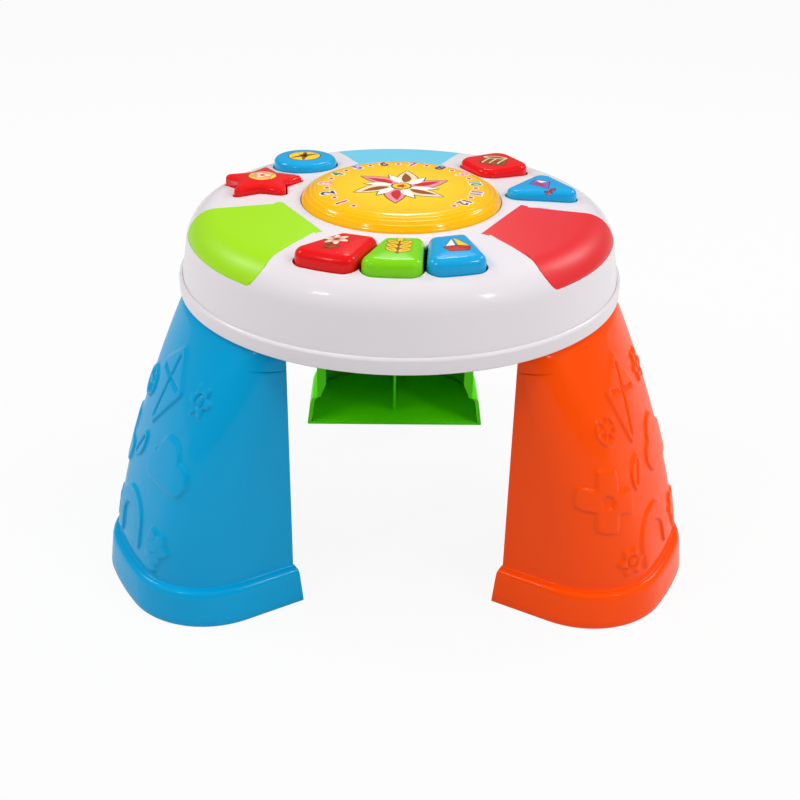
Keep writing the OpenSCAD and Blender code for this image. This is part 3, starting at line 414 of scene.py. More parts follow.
def made_real(thing, tools=()):
    """The plain mesh of an object with its modifiers; the object and its tools are removed."""
    depsgraph = bpy.context.evaluated_depsgraph_get()
    data = bpy.data.meshes.new_from_object(thing.evaluated_get(depsgraph), depsgraph=depsgraph)
    for used in (thing, *tools):
        bpy.data.objects.remove(used)
    return data


def entered(piece, body, nodes=()):
    """Hides the CAD nodes a piece replaces and hangs it on the empty of the body it rides on."""
    if nodes:
        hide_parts(*nodes)
    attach(piece, body)
    return piece


def new_piece(name, mesh, body, materials, sharp=40, nodes=()):
    """Turns a bmesh into a finished piece; sharp is the angle of its hard edges, in degrees."""
    bmesh.ops.remove_doubles(mesh, verts=mesh.verts, dist=2e-6)
    bmesh.ops.dissolve_degenerate(mesh, dist=1e-6, edges=mesh.edges)
    data = mesh_data(name, mesh)
    for material in materials:
        data.materials.append(material)
    data.shade_smooth()
    data.set_sharp_from_angle(angle=radians(sharp))
    return entered(in_scene(name, data), body, nodes)


print("mesh helpers are ready")

# %% [markdown]
# A real mould leaves every edge a little round, and light catches on it. So the white pieces and
# the panels get a fine bevel on their sharp edges. Weighted normals then keep the broad faces
# looking flat right up to that bevel. The base pan is a merged copy of the CAD's own mesh.

# %% Softened edges
SOFT_ANGLE, FLAT_WEIGHT = radians(32), 60
CARVED_WELD = 0.12  # joins the crumbs that Boolean cuts leave, which a bevel would turn into spikes


def softened(name, mesh, finish, width, node, weld=0.002):
    """A finished piece from a bmesh: crumbs under weld joined, sharp edges rounded by width."""
    bmesh.ops.remove_doubles(mesh, verts=mesh.verts, dist=weld * MM)
    bmesh.ops.dissolve_degenerate(mesh, edges=mesh.edges, dist=weld * MM)
    blank = in_scene(name + "_blank", mesh_data(name + "_blank", mesh))
    blank.data.shade_smooth()
    bevel = blank.modifiers.new("edge", "BEVEL")
    bevel.width, bevel.segments, bevel.use_clamp_overlap = width * MM, 2, False
    bevel.limit_method, bevel.angle_limit = "ANGLE", SOFT_ANGLE
    blank.modifiers.new("flat faces", "WEIGHTED_NORMAL").weight = FLAT_WEIGHT
    finished = made_real(blank)
    finished.name = name
    finished.materials.clear()
    finished.materials.append(plastic[finish])
    return entered(in_scene(name, finished), "table", [node])


pan_mesh = bmesh.new()
pan_mesh.from_mesh(frame["nodes"]["base_pan"].data)
pan = softened("base_pan_soft", pan_mesh, "shell_white", 0.4, "base_pan")
print(pan.name, len(pan.data.polygons), "faces")

# %% [markdown]
# The play top is one moulded shell: a gently crowned top that turns over a round shoulder into a
# steep wall. One line drawn from the wall to the middle and spun round the axis gives a solid of
# that shape. The same solid, drawn a wall thickness deeper, hollows it out.

# %% The play top's profile
SHOULDER_R, WALL_LEAN, WALL_TILT, SHELL_T, PANEL_T = 28, 7.3, radians(80), 2.6, 2
TABLE_R = 180
SHOULDER_X = TABLE_R - WALL_LEAN - SHOULDER_R
CROWN_END = asin(SHOULDER_X / CROWN_RAD)
SHOULDER_Z = crown(SHOULDER_X + SHOULDER_R * sin(CROWN_END)) - SHOULDER_R * cos(CROWN_END)
LIP_TOP, TONGUE_Z = LIP_Z + 13.5, LIP_Z + 9
WALL_R = (SHOULDER_X + SHOULDER_R * sin(WALL_TILT)
          + (SHOULDER_Z + SHOULDER_R * cos(WALL_TILT) - LIP_TOP) / tan(WALL_TILT))
CROWN_RINGS = (138, 128, 117, 106, 95, 84, 73, 60, 45, 30, 15)


def top_profile(deep, low):
    line = [(WALL_R - deep, low), (WALL_R - deep, LIP_TOP)]
    turn = pi / 2 - CROWN_END - (pi / 2 - WALL_TILT)
    for k in range(15):
        x, z = polar(SHOULDER_R - deep, pi / 2 - WALL_TILT + turn * k / 14)
        line.append((SHOULDER_X + x, SHOULDER_Z + z))
    return line + [(r, crown(r) - deep) for r in CROWN_RINGS]


def top_solid(deep, low=TONGUE_Z):
    """The closed solid of the play top, drawn deep millimetres under its skin."""
    return lathe(top_profile(deep, low), 180, crown(0) - deep, low)


print("wall foot radius", round(WALL_R, 2), "shoulder from", round(SHOULDER_X, 1), "mm out")

# %% [markdown]
# Three coloured panels are set flush into the top. Each has hooks at its inner corners, sides
# that flare to round tips, and an outer edge that follows the rim. Its plan is one side, an arc,
# and the other side mirrored. The two front panels have one wider tip, the one nearest the keys.

# %% Plan of a colour panel
PANEL_IN, PANEL_OUT, PANEL_HALF, PANEL_FLARE = 88.4, 171, 38, 23
HOOK, HOOK_END, FLARE_FROM, FLARE_RUN = 6, 2.2, 16, 55
TIP_R, TIP_Y = 9, 51.7
# [direction, how much wider the left tip is (below zero: the right one), finish]
PANELS = {"left_panel": (208.4, 5, "panel_lime"), "right_panel": (330.9, -5, "panel_red"),
          "rear_panel": (90, 0, "panel_sky")}


def panel_side(g, more):
    """One side of a panel that points along +x, and the turn at which its rim begins."""
    tip_y = TIP_Y + more
    tip_x = sqrt((PANEL_OUT - TIP_R) ** 2 - tip_y ** 2)
    hook = PANEL_IN + HOOK
    side = [(PANEL_IN - g, PANEL_HALF + g), (hook + g, PANEL_HALF + g),
            (hook + 0.6 + g, PANEL_HALF - HOOK_END + g)]
    for i in range(17):
        d = PANEL_IN + FLARE_FROM + (tip_x - 4.3 - PANEL_IN - FLARE_FROM) * i / 16
        flare = (PANEL_FLARE + more * 1.2) * ((d - hook) / FLARE_RUN) ** 1.25
        side.append((d, PANEL_HALF - 0.5 + flare + g))
    for a in range(112, 22, -8):
        x, y = polar(TIP_R + g, radians(a))
        side.append((tip_x + x, tip_y + y))
    return side, atan2(tip_y, tip_x)


def panel_plan(grow, more):
    """Panel outline that points along +x, anticlockwise."""
    (left, a), (right, b) = panel_side(grow, max(more, 0)), panel_side(grow, max(-more, 0))
    rim = [polar(PANEL_OUT + grow, a - (a + b) * k / 40) for k in range(41)]
    return list(reversed(left + rim + [(x, -y) for x, y in reversed(right)]))


def turned_plan(points, angle, at=(0, 0)):
    c, s = cos(radians(angle)), sin(radians(angle))
    return [(at[0] + x * c - y * s, at[1] + x * s + y * c) for x, y in points]


print("corners of a panel:", len(panel_plan(0, 0)))

# %% [markdown]
# Carving needs solids that are only tools. A small helper stacks exact Boolean steps on a blank,
# reads the finished mesh back and throws the tools away, so nothing live is left on the piece.

# %% Carving
CUT_LOW, CUT_HIGH = LIP_Z + 12, LIP_Z + 89


def carved(base, steps):
    """Applies (operation, bmesh) steps to a bmesh and returns the result as a bmesh."""
    blank = in_scene("tool", mesh_data("tool", base))
    tools = []
    for operation, mesh in steps:
        tools.append(in_scene("tool", mesh_data("tool", mesh)))
        step = blank.modifiers.new("carve", "BOOLEAN")
        step.operation, step.solver, step.object = operation, "EXACT", tools[-1]
    data = made_real(blank, tools)
    result = bmesh.new()
    result.from_mesh(data)
    bpy.data.meshes.remove(data)
    return result


def columns(*plans):
    """Upright prisms over plans drawn round the axis, tall enough to cut through the top."""
    mesh = bmesh.new()
    for plan in plans:
        prism(mesh, at_axis([(x, y, 0) for x, y in plan]), CUT_LOW, CUT_HIGH)
    return mesh


def panel_columns(grow, nodes=tuple(PANELS)):
    return columns(*[turned_plan(panel_plan(grow, PANELS[n][1]), PANELS[n][0]) for n in nodes])


for node, (_, _, finish) in PANELS.items():
    mesh = carved(panel_columns(-0.15, [node]),
                  [("INTERSECT", top_solid(0)), ("DIFFERENCE", top_solid(PANEL_T, TONGUE_Z - 3))])
    piece = softened(node + "_soft", mesh, finish, 0.4, node, CARVED_WELD)
    print(piece.name, len(piece.data.polygons), "faces")

# %% [markdown]
# Each leg is a hollow shell that sweeps out towards the floor and ends in a skirt. Its cross
# section is one line: straight side, round corner, broad front, and back again. Drawing that
# line at many heights gives a fine grid, and the grid can then carry raised patterns.

# %% Leg section
LEG_IN, LEG_FOOT_R, LEG_TOP_R, LEG_HALF = 143, 250, 177, 79
LEG_CURVE, CORNER_FOOT, CORNER_TOP, LEG_WALL = 1.35, 60, 34, 3
SKIRT_H, SKIRT_OUT, FLANGE = 30, 11, 9
BODY_Z0, LEG_Z1 = SKIRT_H + 2, LIP_Z
LEG_TURNS = {"left_leg": 210, "right_leg": 330, "rear_leg": 90}


def rise(z):
    return max(0.0, (z - BODY_Z0) / (LEG_Z1 - BODY_Z0))


def leg_radius(z):
    return LEG_TOP_R + (LEG_FOOT_R - LEG_TOP_R) * (1 - rise(z) ** LEG_CURVE)


def leg_corner(z):
    return CORNER_FOOT + (CORNER_TOP - CORNER_FOOT) * rise(z)


def leg_line(x0, radius, half, corner, sides=26, corners=46, front=60):
    """Half of a leg's outline, from the open edge to the middle of the front, evenly dense."""
    mid_y = half - corner
    mid_x = sqrt((radius - corner) ** 2 - mid_y ** 2)
    start, end = pi / 2, atan2(mid_y, mid_x)
    points = [(x0 + (mid_x - x0) * i / sides, half) for i in range(sides)]
    if mid_x <= x0:
        points, corners = [], sides + corners
        start = acos(max(-1, min(1, (x0 - mid_x) / corner)))
    turns = [start + (end - start) * i / corners for i in range(corners)]
    points += [(mid_x + corner * cos(a), mid_y + corner * sin(a)) for a in turns]
    return points + [polar(radius, end * (1 - i / front)) for i in range(front + 1)]


def leg_outline(x0, radius, half, corner, **counts):
    upper = leg_line(x0, radius, half, corner, **counts)
    return upper + [(x, -y) for x, y in reversed(upper[:-1])]


def along(points):
    """Distance of each point from the middle of the line, in millimetres."""
    run = [0.0]
    for a, b in zip(points, points[1:]):
        run.append(run[-1] + hypot(b[0] - a[0], b[1] - a[1]))
    return [d - run[len(run) // 2] for d in run]


sample = leg_outline(LEG_IN, leg_radius(120), LEG_HALF, leg_corner(120))
print("points round a leg:", len(sample), "half width of its skin in mm:", round(along(sample)[-1]))

# %% [markdown]
# The outer face of each leg carries raised shapes about 1.9 mm high, moulded in the same plastic.
# A signed distance says how far a point is outside a shape, so one formula per shape gives both
# its height and a soft shoulder. The shapes here are plain: kite, cloud, cross, arch, petals.

# %% Raised shapes on the legs
def ring_shape(x, y, r, w):
    return abs(hypot(x, y) - r) - w


def disc_shape(x, y, r):
    return hypot(x, y) - r


def box_shape(x, y, w, h, r):
    dx, dy = abs(x) - w + r, abs(y) - h + r
    return hypot(max(dx, 0), max(dy, 0)) + min(max(dx, dy), 0) - r


def polygon_shape(x, y, corners, r):
    """Distance to a polygon whose corners run anticlockwise, rounded by r."""
    best, inside = 1e9, True
    for (ax, ay), (bx, by) in zip(corners, corners[1:] + corners[:1]):
        ex, ey, px, py = bx - ax, by - ay, x - ax, y - ay
        t = max(0, min(1, (px * ex + py * ey) / (ex * ex + ey * ey)))
        best = min(best, hypot(px - t * ex, py - t * ey))
        inside = inside and ex * py - ey * px > 0
    return (-best if inside else best) - r


def petal_shape(x, y, count, r, depth):
    return hypot(x, y) - r - depth * cos(count * atan2(y, x))


def cut_out(shape, hole):
    return max(shape, -hole)


def turned(x, y, angle):
    c, s = cos(radians(angle)), sin(radians(angle))
    return x * c + y * s, y * c - x * s


def big_kite(x, y):
    x, y = turned(x, y, 12)
    sail = polygon_shape(x, y, [(0, -32), (20, 4), (0, 26), (-20, 4)], 4)
    return cut_out(sail, min(max(abs(x) - 0.9, abs(y + 3) - 26), max(abs(y - 4) - 0.9, abs(x) - 17)))


def big_cloud(x, y):
    puffs = min(disc_shape(x + 15, y + 2, 13), disc_shape(x - 2, y - 8, 16), disc_shape(x - 17, y + 3, 12))
    return min(puffs, box_shape(x, y + 7, 26, 8, 7.5))


def big_cross(x, y):
    x, y = turned(x, y, 14)
    arms = min(box_shape(x, y, 26, 9.5, 5), box_shape(x, y, 9.5, 26, 5))
    return cut_out(arms, disc_shape(x, y, 5))


def big_arch(x, y):
    x, y = turned(x, y, -6)
    band = ring_shape(x, y + 8, 19, 7.5)
    return min(max(band, -y - 8), box_shape(abs(x) - 19, y + 16, 7.5, 9, 3))


def small_flower(x, y):
    return cut_out(petal_shape(x, y, 6, 10.5, 2.6), ring_shape(x, y, 4.5, 0.7))


def small_leaf(x, y):
    x, y = turned(x, y, 30)
    leaf = max(disc_shape(x - 9, y, 17), disc_shape(x + 9, y, 17))
    return cut_out(leaf, max(abs(x) - 0.7, abs(y) - 9))


def small_bubbles(x, y):
    spots = [(-6, 9), (5, 10), (-10, 1), (0, 2), (9, 2), (-4, -7), (5, -7), (0, -15)]
    return min(disc_shape(x - a, y - b, 5.4) for a, b in spots)


def small_wheel(x, y):
    rim = ring_shape(x, y, 10.5, 1.7)
    spokes = min(max(abs(turned(x, y, a)[1]) - 1.1, hypot(x, y) - 11) for a in (0, 60, 120))
    return min(rim, spokes, disc_shape(x, y, 3.4))


# [shape, its place round the leg, its height, half its reach], in millimetres
RELIEF = [
    (big_kite, 8, 172, 42), (small_flower, -40, 176, 16), (small_wheel, 44, 158, 16),
    (big_cloud, -28, 118, 40), (small_leaf, 22, 116, 20), (big_cross, 62, 106, 38),
    (small_bubbles, -38, 56, 24), (big_arch, 12, 66, 40), (small_flower, 50, 52, 16),
]


RELIEF_H, SOFT_OUT, SOFT_RUN = 1.9, 0.6, 1.7  # height; reach and width of a shape's soft shoulder


def relief_height(u, z):
    """How far the raised shapes stand out at a place on the leg, in millimetres."""
    height = 0.0
    for shape, at_u, at_z, reach in RELIEF:
        if abs(u - at_u) < reach and abs(z - at_z) < reach:
            step = min(1, max(0, (SOFT_OUT - shape(u - at_u, z - at_z)) / SOFT_RUN))
            height = max(height, RELIEF_H * step * step * (3 - 2 * step))
    return height


print("raised shapes on a leg:", len(RELIEF))

# %% [markdown]
# Now the leg itself. From bottom to top the outer skin goes up the skirt, over its rounded ledge,
# and up the swept body to the turned-in top edge. The inner skin follows it one wall thickness
# inside, with in-turned flanges along both open edges. The two are joined into one closed skin.

# %% Build the legs
# height above the floor and growth over the body's outline, along the skirt
SKIRT_LINE = [(0, 9.2), (0.5, 10.1), (1.5, 10.4), (8, 9.5), (15, 8.5), (22, 7.5), (25, 7.1), (27, 6.5),
              (28.6, 5.5), (29.6, 4.1), (30, 2.6), (30.1, 1.3), (30.5, 0.5), (31.4, 0.1), (33, 0)]
TOP_LINE = [(-8, 0), (-5, -0.3), (-3, -0.9), (-1.5, -1.9), (-0.5, -2.9), (0, -3.8)]
BODY_STEPS, LINING_STEP = 158, 12
RELIEF_LOW, RELIEF_TOP = 36, LEG_Z1 - 10
WEB_HALF, TONGUE_AT, TONGUE_HALF, TONGUE_X = 1.2, 42, 9, (156, 160)


def leg_levels():
    low, high = SKIRT_LINE[-1][0], LEG_Z1 + TOP_LINE[0][0]
    body = [(low + (high - low) * i / BODY_STEPS, 0.0) for i in range(1, BODY_STEPS)]
    return SKIRT_LINE + body + [(LEG_Z1 + z, g) for z, g in TOP_LINE]


def leg_skin(level, growth):
    start = LEG_IN - max(0, growth) / 3
    radius, corner = leg_radius(level) + growth, leg_corner(level) + growth
    outline = leg_outline(start, radius, LEG_HALF + growth, corner)
    if not RELIEF_LOW < level < RELIEF_TOP:
        return outline
    grown = []
    for j, ((x, y), mark) in enumerate(zip(outline, along(outline))):
        lift = relief_height(mark, level)
        if lift:
            (ax, ay), (bx, by) = outline[max(0, j - 1)], outline[min(len(outline) - 1, j + 1)]
            run = hypot(bx - ax, by - ay)
            x, y = x - lift * (by - ay) / run, y + lift * (bx - ax) / run
        grown.append((x, y))
    return grown


def leg_lining(level, growth):
    flange = FLANGE if level > SKIRT_H + 4 else LEG_WALL + 1
    start, inset, edge = LEG_IN - max(0, growth) / 3, growth - LEG_WALL, LEG_HALF + growth - flange
    inner = leg_outline(start + LEG_WALL, leg_radius(level) + inset, LEG_HALF + inset,
                        leg_corner(level) + inset, sides=3, corners=8, front=10)
    return [(start, edge), (start + LEG_WALL, edge)] + inner + [(start + LEG_WALL, -edge), (start, -edge)]


def zip_edges(mesh, outer, inner, flip):
    """Triangles between two upright lines of points with different spacing."""
    i = j = 0
    while i < len(outer) - 1 or j < len(inner) - 1:
        take_outer = j == len(inner) - 1 or (i < len(outer) - 1 and outer[i + 1].co.z <= inner[j + 1].co.z)
        corners = (outer[i], outer[i + 1] if take_outer else inner[j + 1], inner[j])
        mesh.faces.new(corners[::-1] if flip else corners)
        i, j = (i + 1, j) if take_outer else (i, j + 1)


def make_leg(node, finish):
    mesh = bmesh.new()

    def placed(points, z=0):
        return at_axis([(x, y, z) for x, y in turned_plan(points, LEG_TURNS[node])])

    levels = leg_levels()
    rows = join_rings(mesh, [placed(leg_skin(z, g), z)[::-1] for z, g in levels], loop=False)
    inside = [level for i, level in enumerate(levels)
              if i < len(SKIRT_LINE) or i % LINING_STEP == 0 or i > len(levels) - 7]
    lining = [placed(leg_lining(max(z, LEG_WALL), g), max(z, LEG_WALL)) for z, g in inside]
    join_rings(mesh, lining, loop=False)
    # the two upright edges between skin and lining
    for skin_end, lining_end in ((-1, 0), (0, -1)):
        inner = [mesh.verts.new(r[lining_end]) for r in lining]
        zip_edges(mesh, [r[skin_end] for r in rows], inner, flip=skin_end == 0)
    # foot plate and top plate
    prism(mesh, placed(leg_skin(*SKIRT_LINE[0])), 0, LEG_WALL)
    rim = leg_outline(LEG_IN + 0.4, LEG_TOP_R - 3.9, LEG_HALF - 4, CORNER_TOP - 4,
                      sides=3, corners=12, front=16)
    prism(mesh, placed(rim), LEG_Z1 - LEG_WALL, LEG_Z1 - 0.02)
    # web down the middle
    web = [(LEG_IN + 8, LEG_Z1 - 1.5), (LEG_IN + 22, 1), (LEG_FOOT_R + SKIRT_OUT - 2, 1),
           (LEG_FOOT_R + 5, 24)]
    web += [(leg_radius(z) - 1.2 - 3 * rise(z), z) for z in (33, 70, 110, 150, 190, LEG_Z1 - 2)]
    sheets = [placed([(x, side) for x, _ in web]) for side in (-WEB_HALF, WEB_HALF)]
    block(mesh, *[[(p.x, p.y, z * MM) for p, (_, z) in zip(sheet, web)] for sheet in sheets])
    # tongues that plug into the pan
    for middle in (-TONGUE_AT, TONGUE_AT):
        (x0, x1), low, high = TONGUE_X, middle - TONGUE_HALF, middle + TONGUE_HALF
        prism(mesh, placed([(x0, low), (x1, low), (x1, high), (x0, high)]), LEG_Z1 - 2, LEG_Z1 + 16)
    return new_piece(node + "_moulded", mesh, "table", [plastic[finish]], 50, [node])


for node, finish in (("left_leg", "leg_blue"), ("right_leg", "leg_orange"), ("rear_leg", "leg_green")):
    piece = make_leg(node, finish)
    print(piece.name, len(piece.data.polygons), "faces")

# %% [markdown]
# The light-up dome is a shallow amber cap over a lamp board. It is a turned shape, so one profile
# is drawn and spun round the axis. Its slope swells out to the rim and carries four fine ridges,
# which catch thin lines of light. Near the rim, where the plastic is seen edge on, its colour is
# painted deeper as painted shade.

# %% The amber dome
SUN_R, SUN_RISE, SUN_RIM, SUN_WALL = 80.2, 0.5, 9.6, 2.2
SUN_SLOPE, SWELL, RIDGES, RIDGE_H = 17, 1.75, 4, 0.8
SUN_BASE, SUN_FLANGE_R = crown(SUN_R), SUN_R + 3.4
SUN_FLANGE_Z = crown(SUN_FLANGE_R) - SHELL_T - 0.3


def sun_height(r):
    """Height of the dome's skin: a swelling slope, a faint crown, and the ridges."""
    t = min(1.0, (SUN_R - r) / SUN_SLOPE)
    slope = max(0.0, 1 - (1 - t) ** SWELL) ** (1 / SWELL)
    place = (SUN_R - 1.2 - r) / (SUN_SLOPE - 3)
    ridge = sin(pi * RIDGES * place) ** 4 if 0 < place < 1 else 0
    faint = SUN_RISE * (1 - (r / SUN_R) ** 2)
    return SUN_BASE + SUN_RIM * slope + faint + RIDGE_H * (ridge - 1) * (1 - t)


def sun_profile():
    """[radius, height] out along the lining, round the flange, and in along the skin."""
    inner, low = SUN_R - SUN_WALL, SUN_FLANGE_Z - 2
    line = [(r, sun_height(r) - SUN_WALL) for r in [(inner - 3) * (1 - i / 24) for i in range(23, -1, -1)]]
    line += [(inner, SUN_BASE + 0.4), (inner, low), (SUN_FLANGE_R, low), (SUN_FLANGE_R, SUN_FLANGE_Z)]
    line += [(SUN_R, SUN_FLANGE_Z), (SUN_R, SUN_BASE)]
    skin = [SUN_R - SUN_SLOPE * (i / 90) ** 1.3 for i in range(1, 91)]
    skin += [(SUN_R - SUN_SLOPE) * (1 - i / 24) for i in range(1, 24)]
    return line + [(r, sun_height(r)) for r in skin]


def make_amber():
    """Amber painted deeper from the bright middle to the rim, by distance from the axis, as painted shade.
    """
    material = make_plastic("sun_amber_cast", (252, 202, 16), roughness=0.2, coat=0.5, uneven=0.04)
    tree = material.node_tree
    reach = tree.nodes.new("ShaderNodeVectorMath")
    reach.operation = "DISTANCE"
    tree.links.new(tree.nodes.new("ShaderNodeTexCoord").outputs["Object"], reach.inputs[0])
    reach.inputs[1].default_value = (0, AXIS_Y * MM, SUN_BASE * MM)
    # painted shade: the colour deepens from the middle to the rim, where the plastic is seen edge on
    rim_shade_ramp = tree.nodes.new("ShaderNodeValToRGB")
    bright, deep = rim_shade_ramp.color_ramp.elements
    bright.position, bright.color = 0.5, screen_colour(252, 212, 26)
    deep.position, deep.color = 0.96, screen_colour(255, 188, 0)
    tree.links.new(maths(tree, "DIVIDE", reach.outputs["Value"], SUN_R * MM), rim_shade_ramp.inputs[0])
    tree.links.new(rim_shade_ramp.outputs[0], tree.nodes["Group"].inputs["Colour"])
    return material


plastic["sun_amber"] = make_amber()
dome_mesh = lathe(sun_profile(), 240, sun_height(0), sun_height(0) - SUN_WALL)
dome = new_piece("amber_dome", dome_mesh, "sun", [plastic["sun_amber"]], 60, ["sun_dome"])
print(dome.name, len(dome.data.polygons), "faces; top at", round(sun_height(0), 1), "mm")

# %% [markdown]
# Keys and buttons are hollow caps. Each starts from its outline seen from above. Walls lean in
# slightly, then the edge rounds over to a top that is crowned by about a millimetre, which is what
# gives moulded keys their moving highlights. Inset outlines, ring by ring, make all of that.

# %% Outlines of keys and buttons
KEY_DIR, KEY_PITCH, KEY_SWIRL, KEY_IN, KEY_OUT, KEY_Z = -102.7, 18.4, 23.5, 100, 153.5, LIP_Z + 75
BACK_Q, FRONT_Q, KEY_GAP, KEY_ROUND, KEY_CROWN = 7, 10, 1.4, 6.2, 1.1
CAP_WALL, CAP_LEAN, CAP_ROUND = 2, 0.6, 4.5
OVAL_AT, STAR_AT = (-82.3, 91.4, -11), (-114.2, 34.2, 90)
SQUARE_AT, FAN_AT = (81.7, 84.8, 28.4), (114.4, 20.8, -2.9)
STAR_TIP, STAR_TIP_R, STAR_NOTCH, STAR_FLAT, STAR_DROP = 33.6, 4.5, 21, 10, 1.5
OVAL_HALF_X, OVAL_HALF_Y, SQUARE_HALF, SQUARE_R = 27.7, 25.4, 11.4, 13
FAN_DISCS = [(-18.5, -10.9, 10), (19.5, -7.5, 10), (3, 20, 10)]


def edge_normal(a, b):
    """Direction in which the line that touches two discs faces."""
    return atan2(b[1] - a[1], b[0] - a[0]) - pi / 2 + asin((a[2] - b[2]) / hypot(b[0] - a[0], b[1] - a[1]))


def rounded_outline(discs, grow, steps):
    """Convex outline round discs (x, y, radius), each grown; it runs anticlockwise."""
    points = []
    for i, disc in enumerate(discs):
        first = edge_normal(discs[i - 1], disc)
        turn = (edge_normal(disc, discs[(i + 1) % len(discs)]) - first) % (2 * pi)
        for k in range(steps + 1):
            x, y = polar(disc[2] + grow, first + turn * k / steps)
            points.append((disc[0] + x, disc[1] + y))
    return points


def key_outline(grow, splay=0):
    """A key seen from above; splay turns its first front corner outwards by some degrees."""
    half = radians(KEY_PITCH / 2)

    def side(r, q, sign, turn=0):
        a = sign * half + asin((KEY_SWIRL * cos(half) - sign * (q + KEY_GAP / 2)) / r) - radians(turn)
        return (*polar(r, a), q)
    back, front = KEY_IN + KEY_GAP / 2 + BACK_Q, KEY_OUT - KEY_GAP / 2 - FRONT_Q
    swell = [(*polar(front, asin(KEY_SWIRL / front) + k), FRONT_Q) for k in (-0.04, 0, 0.04)]
    return rounded_outline([side(back, BACK_Q, -1), side(front, FRONT_Q, -1, splay)] + swell
                           + [side(front, FRONT_Q, 1), side(back, BACK_Q, 1)], grow, 12)


def oval_outline(grow):
    return [(x * (OVAL_HALF_X + grow), y * (OVAL_HALF_Y + grow)) for x, y in circle(1, 96)]


def square_outline(grow):
    discs = [(SQUARE_HALF * x, SQUARE_HALF * y, SQUARE_R) for x, y in SQUARE_CORNERS]
    return rounded_outline(discs, grow, 20)


def fan_outline(grow):
    return rounded_outline(FAN_DISCS, grow, 24)


def star_outline(grow):
    arm = [polar(STAR_TIP_R + grow, radians(b)) for b in range(-72, 73, 12)]
    arm = [(STAR_TIP - STAR_TIP_R + x, y) for x, y in arm] + [polar(STAR_NOTCH + grow * 1.2, radians(36))]
    return [p for i in range(5) for p in turned_plan(arm, 72 * i)]


print("corners per outline:", len(key_outline(0)), len(oval_outline(0)), len(star_outline(0)))

# %% Build the caps
def placed_flat(at):
    """A mover from a cap's own plan to the frame, for a place (x, y, turn)."""
    return lambda x, y, z: at_axis([(*turned_plan([(x, y)], at[2], at)[0], z)])[0]


def inset_profile(low, top, rounding):
    """[inset, height] up a cap's wall and over its edge."""
    line = [(0, low), (CAP_LEAN / 2, (low + top - rounding) / 2), (CAP_LEAN, top - rounding)]
    return line + [(CAP_LEAN + rounding * (1 - cos(radians(a))), top - rounding * (1 - sin(radians(a))))
                   for a in range(10, 91, 10)]


def cap_shell(mesh, outline, low, top, mover, crowned, middle=(0, 0), rounding=CAP_ROUND):
    def level(inset, z, share=1.0):
        return [mover(middle[0] + (x - middle[0]) * share, middle[1] + (y - middle[1]) * share, z)
                for x, y in outline(-inset)]
    edge = top - crowned
    outside = [level(inset, z) for inset, z in inset_profile(low, edge, rounding)]
    outside += [level(CAP_LEAN + rounding, top - crowned * t * t, t) for t in (0.9, 0.78, 0.62, 0.42, 0.2)]
    inside = [level(CAP_WALL + inset, z - CAP_WALL * (k > 1))
              for k, (inset, z) in enumerate(inset_profile(low, edge, rounding - CAP_WALL))]
    rows = join_rings(mesh, inside[::-1] + outside)
    close_end(mesh, rows[-1], mover(*middle, top), True)
    close_end(mesh, rows[0], mover(*middle, edge - CAP_WALL), False)


def new_cap(node, mesh, finish):
    return new_piece(node + "_cap", mesh, node, [plastic[finish]], 48, [node])


KEYS = {"red_key": (-1, "key_red"), "green_key": (0, "key_green"), "blue_key": (1, "key_blue")}
RED_SPLAY, KEY_MID, KEY_UNDER = 1.8, 138, LIP_Z + 54
KEY_HUB = (124.8, KEY_SWIRL)
WORKS_DIR, WORKS_PITCH = -93.6, 19
PIN_X = KEY_IN - 6.5
PIN_Z = crown(PIN_X) - SHELL_T - 6
PIN_R, PIN_HALF, RIB_HALF = 3.2, 5, 1
CONTACT_TOP = LIP_Z + 39 + 1.6 + 6
CONTACT_GAP, KEY_PLUNGER_R, BUTTON_PLUNGER_R = 0.3, 4, 4.5
BUTTON_RISE, BUTTON_SKIRT, BUTTON_CROWN, STAR_ROUND = 8.5, 7, 1, 3.8
STOP_OUT, STOP_DROP, STOP_T = 1.6, 6, 1.2  # the ring that keeps a button in its hole


def make_key(node):
    step, finish = KEYS[node]
    mesh = bmesh.new()
    works = placed_flat((0, 0, WORKS_DIR + step * WORKS_PITCH))
    splay = RED_SPLAY if node == "red_key" else 0
    cap_shell(mesh, lambda grow: key_outline(grow, splay), KEY_UNDER, KEY_Z,
              placed_flat((0, 0, KEY_DIR + step * KEY_PITCH)), KEY_CROWN, KEY_HUB, KEY_ROUND)
    # hinge lug with its arm, then the rib and the plunger under the cap
    rod(mesh, works(PIN_X, -PIN_HALF, PIN_Z), works(PIN_X, PIN_HALF, PIN_Z), PIN_R)
    for x0, x1, y, z0, z1 in ((PIN_X, KEY_IN + 1.5, PIN_HALF, PIN_Z - 3, PIN_Z + 0.4),
                              (KEY_IN + 0.4, KEY_IN + 2.2, PIN_HALF, PIN_Z - 3, PIN_Z + 4),
                              (KEY_IN + 4, KEY_MID - 2, RIB_HALF, KEY_UNDER, KEY_Z - 2.2)):
        prism(mesh, [works(*p, 0) for p in ((x0, -y), (x1, -y), (x1, y), (x0, y))], z0, z1)
    rod(mesh, works(KEY_MID, 0, CONTACT_TOP + CONTACT_GAP), works(KEY_MID, 0, KEY_Z - 2), KEY_PLUNGER_R)
    return new_cap(node, mesh, finish)


# node: [place and turn, outline, finish, middle of its contact]
BUTTONS = {"oval_button": (OVAL_AT, oval_outline, "key_blue", (-83, 96)),
           "star_button": (STAR_AT, star_outline, "key_red", (-115, 39)),
           "square_button": (SQUARE_AT, square_outline, "key_red", (84, 95)),
           "fan_button": (FAN_AT, fan_outline, "key_blue", (119, 30))}


def star_mover(at):
    """Like placed_flat, but the arms fall towards their tips."""
    flat = placed_flat(at)
    reach = STAR_TIP - STAR_FLAT
    return lambda x, y, z: flat(x, y, z - STAR_DROP * max(0, hypot(x, y) - STAR_FLAT) / reach)


